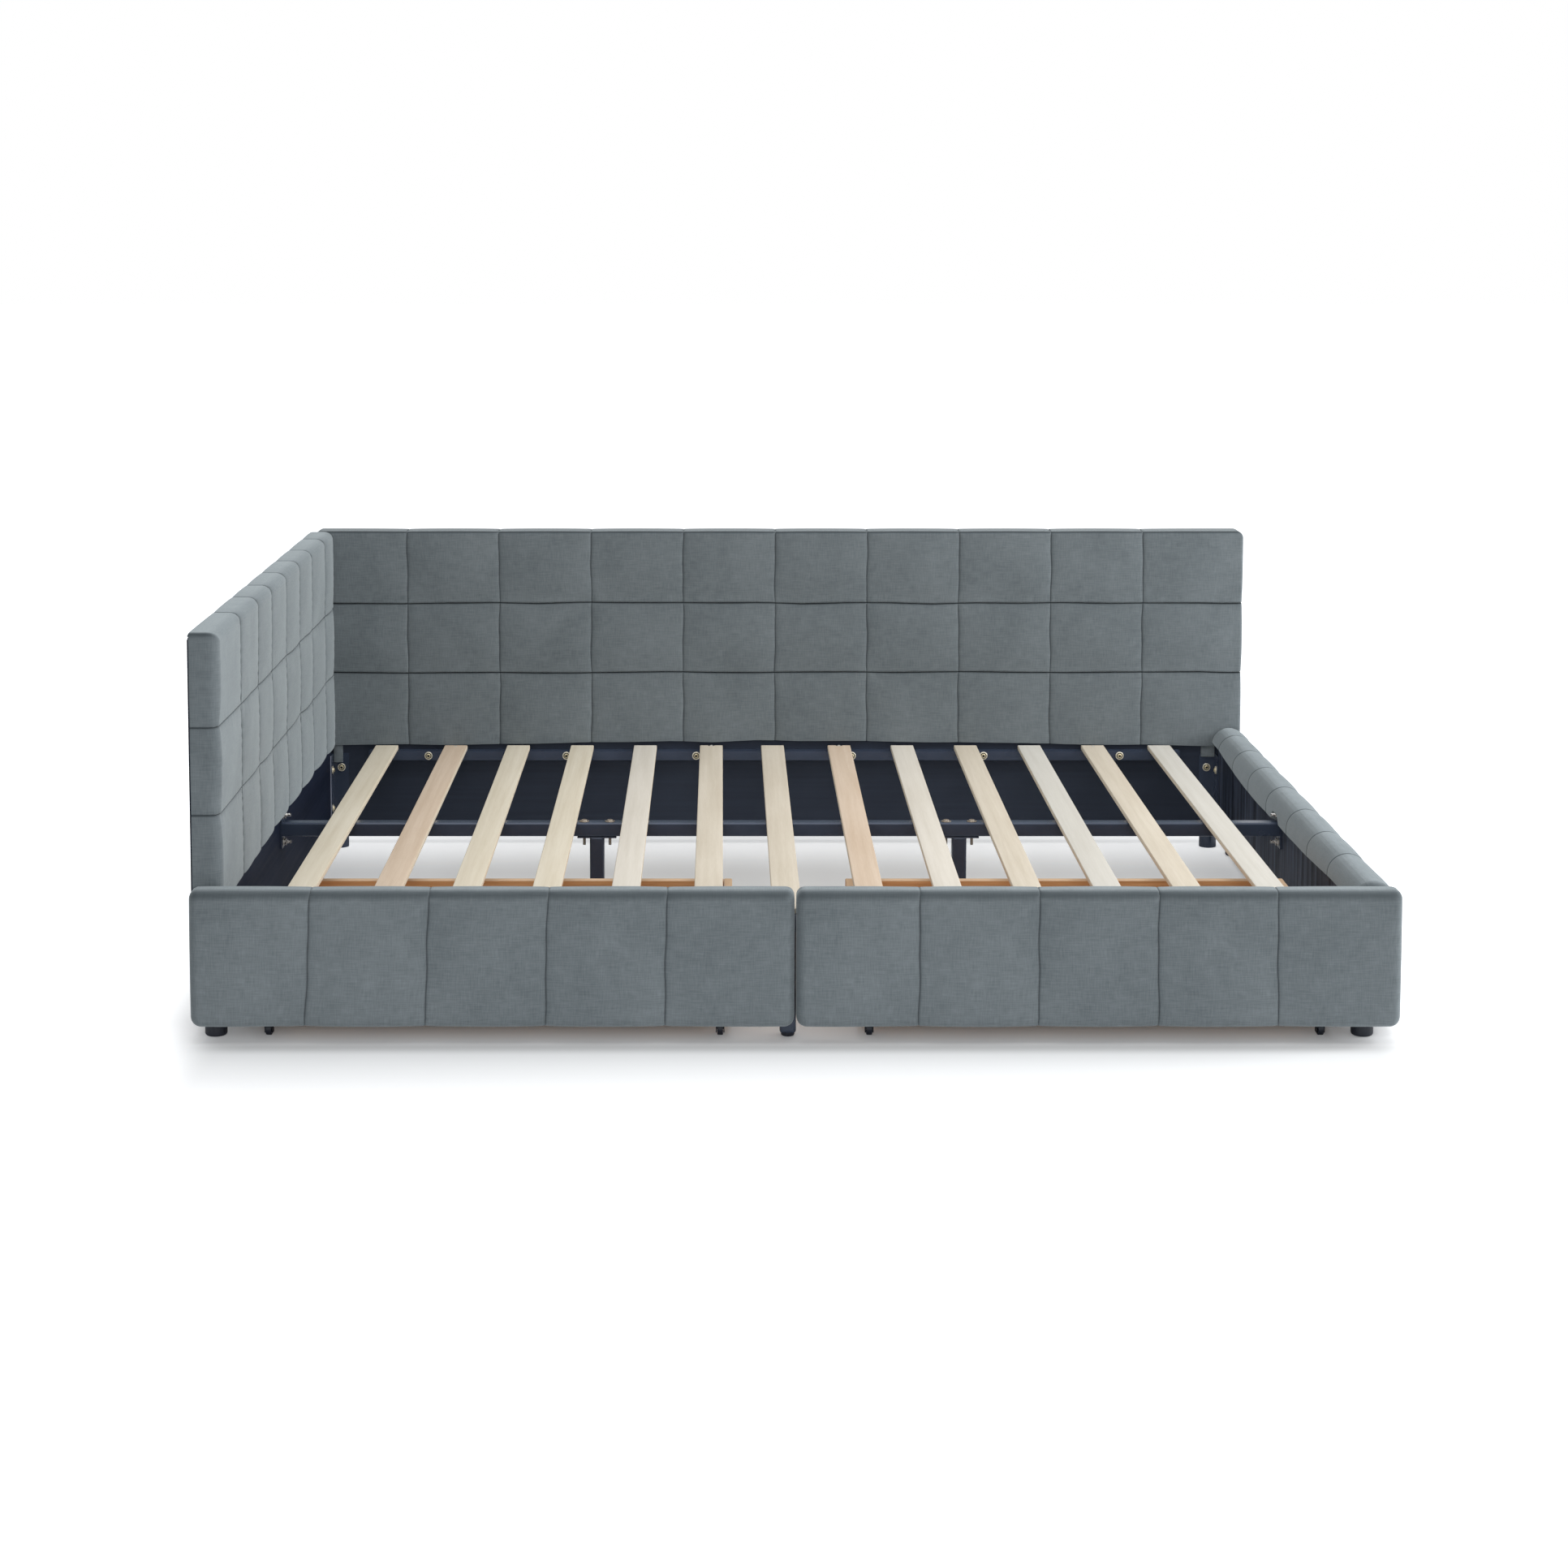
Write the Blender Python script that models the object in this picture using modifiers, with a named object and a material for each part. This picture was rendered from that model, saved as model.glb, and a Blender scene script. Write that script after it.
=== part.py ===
"""Storage sofa bed: an upholstered day bed with a slatted deck and two drawers that roll out at the front.

Run it with: blender --background --python part.py
Metres, +Z up. The origin is on the floor, at the middle of the overall box. The tall side panel is at -X, the low
end rail at +X, the tall back panel at +Y, and both drawers open towards -Y.
"""

import math

import bmesh
import bpy
from mathutils import Vector

COLLECTION_NAME = "storage_sofa_bed"
CUTTERS_NAME = "cutters"

# The overall box, and the space that touching pieces keep
OVERALL_LENGTH = 2.056
OVERALL_DEPTH = 1.5
OVERALL_HEIGHT = 0.698
FLOOR_GAP = 0.025
TOUCH_GAP = 0.0003
CUTTER_REACH = 0.02

# Upholstered panels: a board, with padding that is stitched in cells
BACK_PANEL_INSET = 0.01
BACK_BOARD_THICKNESS = 0.048
SIDE_BOARD_THICKNESS = 0.042
END_BOARD_THICKNESS = 0.048
DUST_COVER_THICKNESS = 0.001
DUST_COVER_MARGIN = 0.014
PAD_CROWN = 0.014
PAD_SEAM = 0.006
PAD_WRAP = 0.009
PAD_EDGE_RADIUS = 0.008
SEAM_GROOVE = 0.003
BACK_HEM_HEIGHT = 0.228
SIDE_HEM_HEIGHT = 0.23
ROW_SEAM_SHARES = (0.325, 0.65)
BACK_COLUMNS = 10
SIDE_SEAM_SHARES = (0.142, 0.282, 0.396, 0.526, 0.657, 0.78, 0.919)
CELL_FLATNESS = 2.6

# The low end rail, whose padding rolls over the top and ends in a short lip inside
LOW_TOP_HEIGHT = 0.264
END_SEAM_SHARES = (0.168, 0.291, 0.423, 0.564, 0.698, 0.822, 0.939)
END_TOP_WRAP = 0.022
END_TOP_RADIUS = 0.024
END_LIP_THICKNESS = 0.012
END_LIP_HEM_HEIGHT = 0.226

# The steel frame under the deck
RAIL_HEIGHT = 0.027
RAIL_WIDTH = 0.027
RAIL_TOP_HEIGHT = 0.2142
RAIL_EDGE = 0.003
REAR_RAIL_DEPTH = 0.03
REAR_RAIL_END_GAP = 0.0846
REAR_RAIL_HEIGHT = 0.02
REAR_RAIL_WALL = 0.002
END_PLATE_THICKNESS = 0.004
END_PLATE_WIDTH = 0.034
END_PLATE_HEIGHT = 0.075
PLATE_NOTCH_MARGIN = 0.005
LEG_TUBE = 0.028
LEG_EDGE = 0.004
LEG_SPACING = 0.706
LEG_PAIR_OFFSET = -0.0056
LEG_PLATE_LENGTH = 0.076
LEG_PLATE_THICKNESS = 0.003
FRONT_LEG_OFFSET = -0.012
GLIDE_DIAMETER = 0.022
GLIDE_HEIGHT = 0.007
GLIDE_ROUND = 0.003

# The rear corner legs: a bent angle plate on a round foot
ANGLE_FLANGE = 0.037
ANGLE_THICKNESS = 0.003
ANGLE_TOP_HEIGHT = 0.205
CORNER_FOOT_HEIGHT = 0.045

# Round feet
FOOT_DIAMETER = 0.038
FOOT_ROUND = 0.004
FRONT_FOOT_SETBACK = 0.022
FRONT_FOOT_OVERLAP = 0.025
END_REAR_FOOT_SETBACK = 0.09

# Slats, whose spacing is a little uneven
SLAT_SHARES = (0.063, 0.141, 0.2115, 0.2835, 0.3547, 0.429, 0.498, 0.573, 0.644, 0.7155, 0.7875, 0.859, 0.934)
SLAT_WIDTH = 0.05
SLAT_THICKNESS = 0.01
SLAT_EDGE = 0.002
SLAT_FRONT_SETBACK = 0.004
SLAT_BACK_GAP = 0.014

# Drawers
DRAWER_COLUMNS = 5
DRAWER_FRONT_DEPTH = 0.042
DRAWER_FRONT_GAP = 0.004
DRAWER_FRONT_CORNER = 0.018
DRAWER_SIDE_OVERHANG = 0.003
DRAWER_FRONT_LIFT = 0.002
DRAWER_STOP_GAP = 0.0005
BOX_SIDE_INSET = 0.1035
BOX_DEPTH = 0.458
BOX_TOP_HEIGHT = 0.162
BOX_BOARD = 0.015
BOX_BOTTOM_HEIGHT = 0.032
BOX_BOTTOM_THICKNESS = 0.006
BOARD_EDGE = 0.0015

# Casters: a moulded housing with its axle, and a wheel
CASTER_INSET = 0.022
CASTER_FRONT_SETBACK = 0.02
CASTER_REAR_SETBACK = 0.03
CASTER_PLATE_WIDTH = 0.022
CASTER_PLATE_DEPTH = 0.034
CASTER_PLATE_THICKNESS = 0.0025
CASTER_CHEEK = 0.0018
CASTER_CHEEK_DEPTH = 0.017
CASTER_CHEEK_TAPER_SHARE = 0.6
CASTER_CHEEK_GAP = 0.005
WHEEL_DIAMETER = 0.025
WHEEL_WIDTH = 0.01
WHEEL_SIDE_GAP = 0.0006
WHEEL_ROUND = 0.0015
WHEEL_RECESS = 0.0015
AXLE_DIAMETER = 0.005
AXLE_GAP = 0.0003

ROUND_STEPS = 24
AXLE_STEPS = 12
SMOOTH_ANGLE = math.radians(40)
FACING_SHARE = 0.99

# Lines that the pieces share, worked out from the sizes above
HALF_LENGTH = OVERALL_LENGTH / 2
HALF_DEPTH = OVERALL_DEPTH / 2
FRAME_FRONT = -HALF_DEPTH + DRAWER_FRONT_DEPTH + DRAWER_STOP_GAP
BACK_BOARD_REAR = HALF_DEPTH - DUST_COVER_THICKNESS - TOUCH_GAP
BACK_BOARD_FRONT = BACK_BOARD_REAR - BACK_BOARD_THICKNESS
BACK_PANEL_LENGTH = OVERALL_LENGTH - 2 * BACK_PANEL_INSET
SIDE_REAR = BACK_BOARD_FRONT - PAD_CROWN - TOUCH_GAP
SIDE_BOARD_OUTER = -HALF_LENGTH + DUST_COVER_THICKNESS + TOUCH_GAP
SIDE_BOARD_INNER = SIDE_BOARD_OUTER + SIDE_BOARD_THICKNESS
END_BOARD_OUTER = HALF_LENGTH - PAD_CROWN
END_BOARD_INNER = END_BOARD_OUTER - END_BOARD_THICKNESS
DECK_MIDDLE = (SIDE_BOARD_INNER + END_BOARD_INNER) / 2
DECK_LENGTH = END_BOARD_INNER - SIDE_BOARD_INNER
REAR_RAIL_LENGTH = DECK_LENGTH - 2 * REAR_RAIL_END_GAP
SLAT_FRONT = FRAME_FRONT + SLAT_FRONT_SETBACK
SLAT_REAR = BACK_BOARD_FRONT - SLAT_BACK_GAP
SLAT_BOTTOM = RAIL_TOP_HEIGHT + TOUCH_GAP
CENTRE_RAIL_MIDDLE = (SLAT_FRONT + SLAT_REAR) / 2
RAIL_MIDDLE_HEIGHT = RAIL_TOP_HEIGHT - RAIL_HEIGHT / 2
CENTRE_PLATE_TOP = RAIL_MIDDLE_HEIGHT + END_PLATE_HEIGHT / 2
DRAWER_FRONT_REAR = -HALF_DEPTH + DRAWER_FRONT_DEPTH
DRAWER_FRONT_BOTTOM = FLOOR_GAP + DRAWER_FRONT_LIFT
DRAWER_FRONT_LENGTH = HALF_LENGTH - DRAWER_SIDE_OVERHANG - DRAWER_FRONT_GAP / 2
BOX_WIDTH = DRAWER_FRONT_LENGTH - 2 * BOX_SIDE_INSET
CASTER_SPACING = BOX_WIDTH - 2 * CASTER_INSET
BOX_FRONT = DRAWER_FRONT_REAR + TOUCH_GAP
BOX_REAR = BOX_FRONT + BOX_DEPTH
WHEEL_RADIUS = WHEEL_DIAMETER / 2


def clear_scene():
    for obj in list(bpy.data.objects):
        bpy.data.objects.remove(obj, do_unlink=True)


def make_collection(name):
    collection = bpy.data.collections.new(name)
    bpy.context.scene.collection.children.link(collection)
    return collection


def linear(channel):
    """One sRGB channel, 0 to 255, as the linear value that a shader takes."""
    value = channel / 255
    return value / 12.92 if value <= 0.04045 else ((value + 0.055) / 1.055) ** 2.4


def make_material(name, colour, roughness, metallic=0.0):
    material = bpy.data.materials.new(name)
    material.use_nodes = True
    shader = material.node_tree.nodes["Principled BSDF"]
    shader.inputs["Base Color"].default_value = (*map(linear, colour), 1.0)
    shader.inputs["Roughness"].default_value = roughness
    shader.inputs["Metallic"].default_value = metallic
    material.diffuse_color = (*map(linear, colour), 1.0)
    return material


clear_scene()
PARTS = make_collection(COLLECTION_NAME)
CUTTERS = make_collection(CUTTERS_NAME)
VELVET = make_material("grey_velvet", (108, 116, 119), roughness=0.85)
DUST_CLOTH = make_material("black_dust_cloth", (24, 25, 28), roughness=0.9)
NAVY_BOARD = make_material("navy_board", (36, 41, 52), roughness=0.55)
CHARCOAL_BOARD = make_material("charcoal_board", (48, 51, 60), roughness=0.55)
NAVY_STEEL = make_material("navy_steel", (44, 48, 60), roughness=0.4, metallic=0.3)
SLAT_WOOD = make_material("slat_birch", (214, 205, 188), roughness=0.6)
DRAWER_WOOD = make_material("drawer_board", (158, 118, 84), roughness=0.55)
BLACK_PLASTIC = make_material("black_plastic", (28, 30, 36), roughness=0.45)


def add_object(name, mesh, material, location=(0, 0, 0), collection=PARTS):
    obj = bpy.data.objects.new(name, mesh)
    obj.location = location
    collection.objects.link(obj)
    if material and not mesh.materials:
        mesh.materials.append(material)
    if collection is CUTTERS:
        obj.hide_render = True
        obj.display_type = "WIRE"
    return obj


def mesh_from(name, shape):
    mesh = bpy.data.meshes.new(name)
    bmesh.ops.recalc_face_normals(shape, faces=shape.faces[:])
    shape.to_mesh(mesh)
    shape.free()
    return mesh


def box_shape(size):
    """A cube of the given size, centred on the origin."""
    shape = bmesh.new()
    bmesh.ops.create_cube(shape, size=1)
    bmesh.ops.scale(shape, vec=size, verts=shape.verts[:])
    return shape


def add_box(name, low, high, material, edge=0.0, collection=PARTS):
    """A board or block between two corners, with its long edges eased by a bevel."""
    low, high = Vector(low), Vector(high)
    mesh = mesh_from(name, box_shape(high - low))
    obj = add_object(name, mesh, material, (low + high) / 2, collection)
    if edge:
        bevel = obj.modifiers.new("eased_edges", "BEVEL")
        bevel.width = edge
        bevel.segments = 1
    return obj


def add_cylinder(name, diameter, length, axis_rotation, location, steps, collection=CUTTERS):
    shape = bmesh.new()
    radius = diameter / 2
    bmesh.ops.create_cone(
        shape, cap_ends=True, segments=steps, radius1=radius, radius2=radius, depth=length
    )
    obj = add_object(name, mesh_from(name, shape), None, location, collection)
    obj.rotation_euler = axis_rotation
    return obj


def combine(obj, other, operation):
    """Cuts another solid from this one, or joins it on."""
    modifier = obj.modifiers.new(f"{operation.lower()}_{other.name}", "BOOLEAN")
    modifier.operation = operation
    modifier.solver = "EXACT"
    modifier.object = other


def shade_smooth(mesh):
    mesh.shade_smooth()
    mesh.set_sharp_from_angle(angle=SMOOTH_ANGLE)


def quarter_arc(centre, radius, start, steps=3):
    """Points of a quarter circle that runs clockwise from the start angle, as (radius, height) pairs."""
    angles = [start - math.pi / 2 * step / steps for step in range(steps + 1)]
    return [
        (centre[0] + radius * math.cos(angle), centre[1] + radius * math.sin(angle))
        for angle in angles
    ]


def add_turned(name, profile, material, location, closed=False, steps=ROUND_STEPS):
    """A turned piece: the profile's (radius, height) points, run round the local Z axis."""
    mesh = bpy.data.meshes.new(name)
    count = len(profile)
    edges = [(i, i + 1) for i in range(count - 1)]
    if closed:
        edges.append((count - 1, 0))
    mesh.from_pydata([(radius, 0, height) for radius, height in profile], edges, [])
    obj = add_object(name, mesh, material, location)
    screw = obj.modifiers.new("turn", "SCREW")
    screw.axis = "Z"
    screw.steps = steps
    screw.render_steps = steps
    screw.use_merge_vertices = True
    screw.merge_threshold = TOUCH_GAP / 10
    screw.use_normal_calculate = False
    return obj


def apply_modifiers(obj):
    """Turns the object's live modifiers into its mesh, for pieces that share one mesh."""
    graph = bpy.context.evaluated_depsgraph_get()
    graph.update()
    mesh = bpy.data.meshes.new_from_object(obj.evaluated_get(graph))
    obj.modifiers.clear()
    obj.data = mesh
    return mesh


def cell_fullness(position, seams):
    """How full the padding is between the two seams beside a position: 0 on a seam, 1 in the cell's middle."""
    for start, end in zip(seams, seams[1:]):
        if position <= end:
            across = abs(2 * (position - start) / (end - start) - 1)
            return 1 - min(across, 1) ** CELL_FLATNESS
    return 0


def cell_lines(seams, parts=4):
    """Where the padding is divided along one side: at each seam, and evenly between two seams."""
    lines = []
    for start, end in zip(seams, seams[1:]):
        lines += [start + (end - start) * step / parts for step in range(parts)]
    return lines[1:]


def slice_along(shape, axis, lines):
    normal = Vector((0, 0, 0))
    normal[axis] = 1
    for line in lines:
        geometry = shape.verts[:] + shape.edges[:] + shape.faces[:]
        bmesh.ops.bisect_plane(shape, geom=geometry, plane_co=normal * line, plane_no=normal)


def border_edges(shape, facing, low_height):
    """The edges round the face that looks along -Y or +Y, without the ones on the hem."""
    return [
        edge
        for edge in shape.edges
        if sum(face.normal.y * facing > FACING_SHARE for face in edge.link_faces) == 1
        and max(vert.co.z for vert in edge.verts) > low_height + TOUCH_GAP
    ]


def round_edges(shape, edges, radius, segments):
    bmesh.ops.bevel(
        shape, geom=edges, offset=radius, segments=segments, profile=0.5, affect="EDGES", clamp_overlap=True
    )


def padding_shape(length, height, board_thickness, column_seams, row_seams, radii, hem=True):
    """Stitched padding as a solid block: X along the panel, Z up from its lower edge, and the face towards -Y.

    The board's face is at Y 0. Each cell swells towards its middle, and the seams run over the top as grooves.
    radii are those of the front border, of the rear top edge and of the outline's corners.
    """
    border_radius, rear_radius, corner_radius = radii
    depth = PAD_SEAM + board_thickness
    shape = box_shape((length, depth, height))
    offset = Vector((0, depth / 2 - PAD_SEAM, height / 2))
    bmesh.ops.translate(shape, vec=offset, verts=shape.verts[:])
    if corner_radius:
        corners = [
            edge
            for edge in shape.edges
            if abs(edge.verts[0].co.y - edge.verts[1].co.y) > PAD_SEAM
            and (not hem or edge.verts[0].co.z > height / 2)
        ]
        round_edges(shape, corners, corner_radius, 3)
    slice_along(shape, 0, cell_lines(column_seams))
    slice_along(shape, 2, cell_lines(row_seams))
    lowest = 0 if hem else -height
    shape.normal_update()
    round_edges(shape, border_edges(shape, -1, lowest), border_radius, 2)
    if rear_radius:
        shape.normal_update()
        round_edges(shape, border_edges(shape, 1, lowest), rear_radius, 3)
    swell = PAD_CROWN - PAD_SEAM
    for vert in shape.verts:
        along = cell_fullness(vert.co.x, column_seams)
        if vert.co.y < -PAD_SEAM + TOUCH_GAP:
            vert.co.y -= swell * along * cell_fullness(vert.co.z, row_seams)
        if vert.co.z > height - TOUCH_GAP:
            vert.co.z -= SEAM_GROOVE * (1 - along)
    return shape


def even_seams(length, columns):
    """The borders and seams of even columns, centred on 0."""
    return [length * (column / columns - 0.5) for column in range(columns + 1)]


def centred_seams(length, shares):
    """The borders and seams of columns whose seams stand at the given shares of the length, centred on 0."""
    return [length * (share - 0.5) for share in (0, *shares, 1)]


def shared_seams(height, shares):
    """The borders and seams of rows whose seams stand at the given shares of the height."""
    return [0, *(height * share for share in shares), height]


def add_padding(name, shape, location, turn=0.0):
    mesh = mesh_from(name, shape)
    obj = add_object(name, mesh, VELVET, location)
    obj.rotation_euler.z = turn
    return obj


def carve_padding(padding, cutter_name, low, high):
    """Hollows padding out with a box between two corners in the world."""
    cutter = add_box(cutter_name, low, high, None, collection=CUTTERS)
    combine(padding, cutter, "DIFFERENCE")


def build_back_panel():
    half = BACK_PANEL_LENGTH / 2
    board_top = OVERALL_HEIGHT - PAD_WRAP
    board_half = half - PAD_WRAP
    add_box(
        "back_panel_board",
        (-board_half, BACK_BOARD_FRONT, FLOOR_GAP),
        (board_half, BACK_BOARD_REAR, board_top),
        NAVY_BOARD,
        BOARD_EDGE,
    )
    height = OVERALL_HEIGHT - BACK_HEM_HEIGHT
    shape = padding_shape(
        BACK_PANEL_LENGTH,
        height,
        BACK_BOARD_THICKNESS,
        even_seams(BACK_PANEL_LENGTH, BACK_COLUMNS),
        shared_seams(height, ROW_SEAM_SHARES),
        (PAD_EDGE_RADIUS, 0, PAD_EDGE_RADIUS),
    )
    pad = add_padding("back_panel_pad", shape, (0, BACK_BOARD_FRONT, BACK_HEM_HEIGHT))
    carve_padding(
        pad,
        "back_panel_hollow",
        (-board_half - TOUCH_GAP, BACK_BOARD_FRONT - TOUCH_GAP, FLOOR_GAP),
        (board_half + TOUCH_GAP, BACK_BOARD_REAR + CUTTER_REACH, board_top + TOUCH_GAP),
    )
    add_box(
        "back_panel_dust_cover",
        (-half + DUST_COVER_MARGIN, BACK_BOARD_REAR + TOUCH_GAP, FLOOR_GAP + DUST_COVER_MARGIN),
        (half - DUST_COVER_MARGIN, HALF_DEPTH, OVERALL_HEIGHT - DUST_COVER_MARGIN),
        DUST_CLOTH,
    )


def notch_for_plate(padding, face, name):
    """Leaves room in a hem for the centre rail's end plate on a board's inner face."""
    half_notch = END_PLATE_WIDTH / 2 + PLATE_NOTCH_MARGIN
    carve_padding(
        padding,
        name,
        (face - CUTTER_REACH, CENTRE_RAIL_MIDDLE - half_notch, FLOOR_GAP),
        (face + CUTTER_REACH, CENTRE_RAIL_MIDDLE + half_notch, CENTRE_PLATE_TOP + PLATE_NOTCH_MARGIN),
    )


def build_side_panel():
    board_top = OVERALL_HEIGHT - PAD_WRAP
    board_front = FRAME_FRONT + PAD_WRAP
    add_box(
        "side_panel_board",
        (SIDE_BOARD_OUTER, board_front, FLOOR_GAP),
        (SIDE_BOARD_INNER, SIDE_REAR, board_top),
        NAVY_BOARD,
        BOARD_EDGE,
    )
    length = SIDE_REAR - FRAME_FRONT
    height = OVERALL_HEIGHT - SIDE_HEM_HEIGHT
    shape = padding_shape(
        length,
        height,
        SIDE_BOARD_THICKNESS,
        centred_seams(length, SIDE_SEAM_SHARES),
        shared_seams(height, ROW_SEAM_SHARES),
        (PAD_EDGE_RADIUS, 0, PAD_EDGE_RADIUS),
    )
    middle = (FRAME_FRONT + SIDE_REAR) / 2
    pad = add_padding(
        "side_panel_pad", shape, (SIDE_BOARD_INNER, middle, SIDE_HEM_HEIGHT), turn=math.pi / 2
    )
    carve_padding(
        pad,
        "side_panel_hollow",
        (SIDE_BOARD_OUTER - CUTTER_REACH, board_front - TOUCH_GAP, FLOOR_GAP),
        (SIDE_BOARD_INNER + TOUCH_GAP, SIDE_REAR + CUTTER_REACH, board_top + TOUCH_GAP),
    )
    notch_for_plate(pad, SIDE_BOARD_INNER, "side_panel_plate_notch")
    add_box(
        "side_panel_dust_cover",
        (-HALF_LENGTH, FRAME_FRONT + DUST_COVER_MARGIN, FLOOR_GAP + DUST_COVER_MARGIN),
        (SIDE_BOARD_OUTER - TOUCH_GAP, SIDE_REAR - DUST_COVER_MARGIN, OVERALL_HEIGHT - DUST_COVER_MARGIN),
        DUST_CLOTH,
    )


def build_end_rail():
    board_top = LOW_TOP_HEIGHT - END_TOP_WRAP
    board_front = FRAME_FRONT + PAD_WRAP
    add_box(
        "end_rail_board",
        (END_BOARD_INNER, board_front, FLOOR_GAP),
        (END_BOARD_OUTER, SIDE_REAR, board_top),
        CHARCOAL_BOARD,
        BOARD_EDGE,
    )
    length = SIDE_REAR - FRAME_FRONT
    height = LOW_TOP_HEIGHT - DRAWER_FRONT_BOTTOM
    shape = padding_shape(
        length,
        height,
        END_BOARD_THICKNESS + END_LIP_THICKNESS,
        centred_seams(length, END_SEAM_SHARES),
        [0, height],
        (END_TOP_RADIUS, END_TOP_RADIUS, 0),
    )
    middle = (FRAME_FRONT + SIDE_REAR) / 2
    pad = add_padding(
        "end_rail_pad", shape, (END_BOARD_OUTER, middle, DRAWER_FRONT_BOTTOM), turn=math.pi / 2
    )
    carve_padding(
        pad,
        "end_rail_hollow",
        (END_BOARD_INNER - TOUCH_GAP, board_front - TOUCH_GAP, FLOOR_GAP - CUTTER_REACH),
        (END_BOARD_OUTER + TOUCH_GAP, SIDE_REAR + CUTTER_REACH, board_top + TOUCH_GAP),
    )
    carve_padding(
        pad,
        "end_rail_lip_trim",
        (END_BOARD_INNER - CUTTER_REACH, FRAME_FRONT - CUTTER_REACH, FLOOR_GAP - CUTTER_REACH),
        (END_BOARD_INNER + PAD_SEAM, SIDE_REAR + CUTTER_REACH, END_LIP_HEM_HEIGHT),
    )
    notch_for_plate(pad, END_BOARD_INNER - CUTTER_REACH + TOUCH_GAP, "end_rail_plate_notch")


def build_rear_slat_rail():
    """A square steel tube, open at its ends, bolted along the back panel's board."""
    half = REAR_RAIL_LENGTH / 2
    rear = BACK_BOARD_FRONT - TOUCH_GAP
    front = rear - REAR_RAIL_DEPTH
    bottom = RAIL_TOP_HEIGHT - REAR_RAIL_HEIGHT
    rail = add_box(
        "rear_slat_rail",
        (DECK_MIDDLE - half, front, bottom),
        (DECK_MIDDLE + half, rear, RAIL_TOP_HEIGHT),
        NAVY_STEEL,
    )
    bore = add_box(
        "rear_slat_rail_bore",
        (DECK_MIDDLE - half - CUTTER_REACH, front + REAR_RAIL_WALL, bottom + REAR_RAIL_WALL),
        (DECK_MIDDLE + half + CUTTER_REACH, rear - REAR_RAIL_WALL, RAIL_TOP_HEIGHT - REAR_RAIL_WALL),
        None,
        collection=CUTTERS,
    )
    combine(rail, bore, "DIFFERENCE")


def add_cross_rail(name, middle, plate_low, plate_high):
    """A square steel rail between the side panel and the end rail, with a plate welded on each end."""
    low_end = SIDE_BOARD_INNER + TOUCH_GAP
    high_end = END_BOARD_INNER - TOUCH_GAP
    rail = add_box(
        name,
        (low_end, middle - RAIL_WIDTH / 2, RAIL_TOP_HEIGHT - RAIL_HEIGHT),
        (high_end, middle + RAIL_WIDTH / 2, RAIL_TOP_HEIGHT),
        NAVY_STEEL,
        RAIL_EDGE,
    )
    rail.modifiers["eased_edges"].segments = 2
    half_plate = END_PLATE_WIDTH / 2
    plates = ((low_end, low_end + END_PLATE_THICKNESS), (high_end - END_PLATE_THICKNESS, high_end))
    for number, (inner, outer) in enumerate(plates, start=1):
        plate = add_box(
            f"{name}_plate_{number}",
            (inner, middle - half_plate, plate_low),
            (outer, middle + half_plate, plate_high),
            None,
            collection=CUTTERS,
        )
        combine(rail, plate, "UNION")
    return rail


def build_cross_rails():
    add_cross_rail(
        "centre_rail",
        CENTRE_RAIL_MIDDLE,
        RAIL_MIDDLE_HEIGHT - END_PLATE_HEIGHT / 2,
        CENTRE_PLATE_TOP,
    )
    front_rail_middle = FRAME_FRONT + END_PLATE_WIDTH / 2
    add_cross_rail(
        "front_slat_rail",
        front_rail_middle,
        RAIL_TOP_HEIGHT - END_PLATE_HEIGHT,
        RAIL_TOP_HEIGHT,
    )


def glide_profile():
    radius = GLIDE_DIAMETER / 2
    arc = quarter_arc((radius - GLIDE_ROUND, GLIDE_ROUND), GLIDE_ROUND, 0)
    return [(0, GLIDE_HEIGHT + GLIDE_ROUND), (radius, GLIDE_HEIGHT + GLIDE_ROUND), *arc, (0, 0)]


def add_leg(name, x, y):
    """A square steel leg under a rail: a head plate, the tube, and a round glide on the floor."""
    half = LEG_TUBE / 2
    head_top = RAIL_TOP_HEIGHT - RAIL_HEIGHT - TOUCH_GAP
    leg = add_box(name, (x - half, y - half, GLIDE_HEIGHT), (x + half, y + half, head_top), NAVY_STEEL, LEG_EDGE)
    leg.modifiers["eased_edges"].segments = 2
    plate = add_box(
        f"{name}_plate",
        (x - LEG_PLATE_LENGTH / 2, y - RAIL_WIDTH / 2, head_top - LEG_PLATE_THICKNESS),
        (x + LEG_PLATE_LENGTH / 2, y + RAIL_WIDTH / 2, head_top),
        None,
        collection=CUTTERS,
    )
    combine(leg, plate, "UNION")
    glide = add_turned(f"{name}_glide", glide_profile(), None, (x, y, 0))
    PARTS.objects.unlink(glide)
    CUTTERS.objects.link(glide)
    glide.hide_render = True
    glide.display_type = "WIRE"
    combine(leg, glide, "UNION")


def build_legs():
    middle = DECK_MIDDLE + LEG_PAIR_OFFSET
    add_leg("centre_rail_leg_left", middle - LEG_SPACING / 2, CENTRE_RAIL_MIDDLE)
    add_leg("centre_rail_leg_right", middle + LEG_SPACING / 2, CENTRE_RAIL_MIDDLE)
    add_leg("front_rail_leg", FRONT_LEG_OFFSET, FRAME_FRONT + END_PLATE_WIDTH / 2)


def foot_profile():
    radius = FOOT_DIAMETER / 2
    arc = quarter_arc((radius - FOOT_ROUND, FOOT_ROUND), FOOT_ROUND, 0)
    top = FLOOR_GAP - TOUCH_GAP
    return [(0, top), (radius, top), *arc, (0, 0)]


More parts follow.
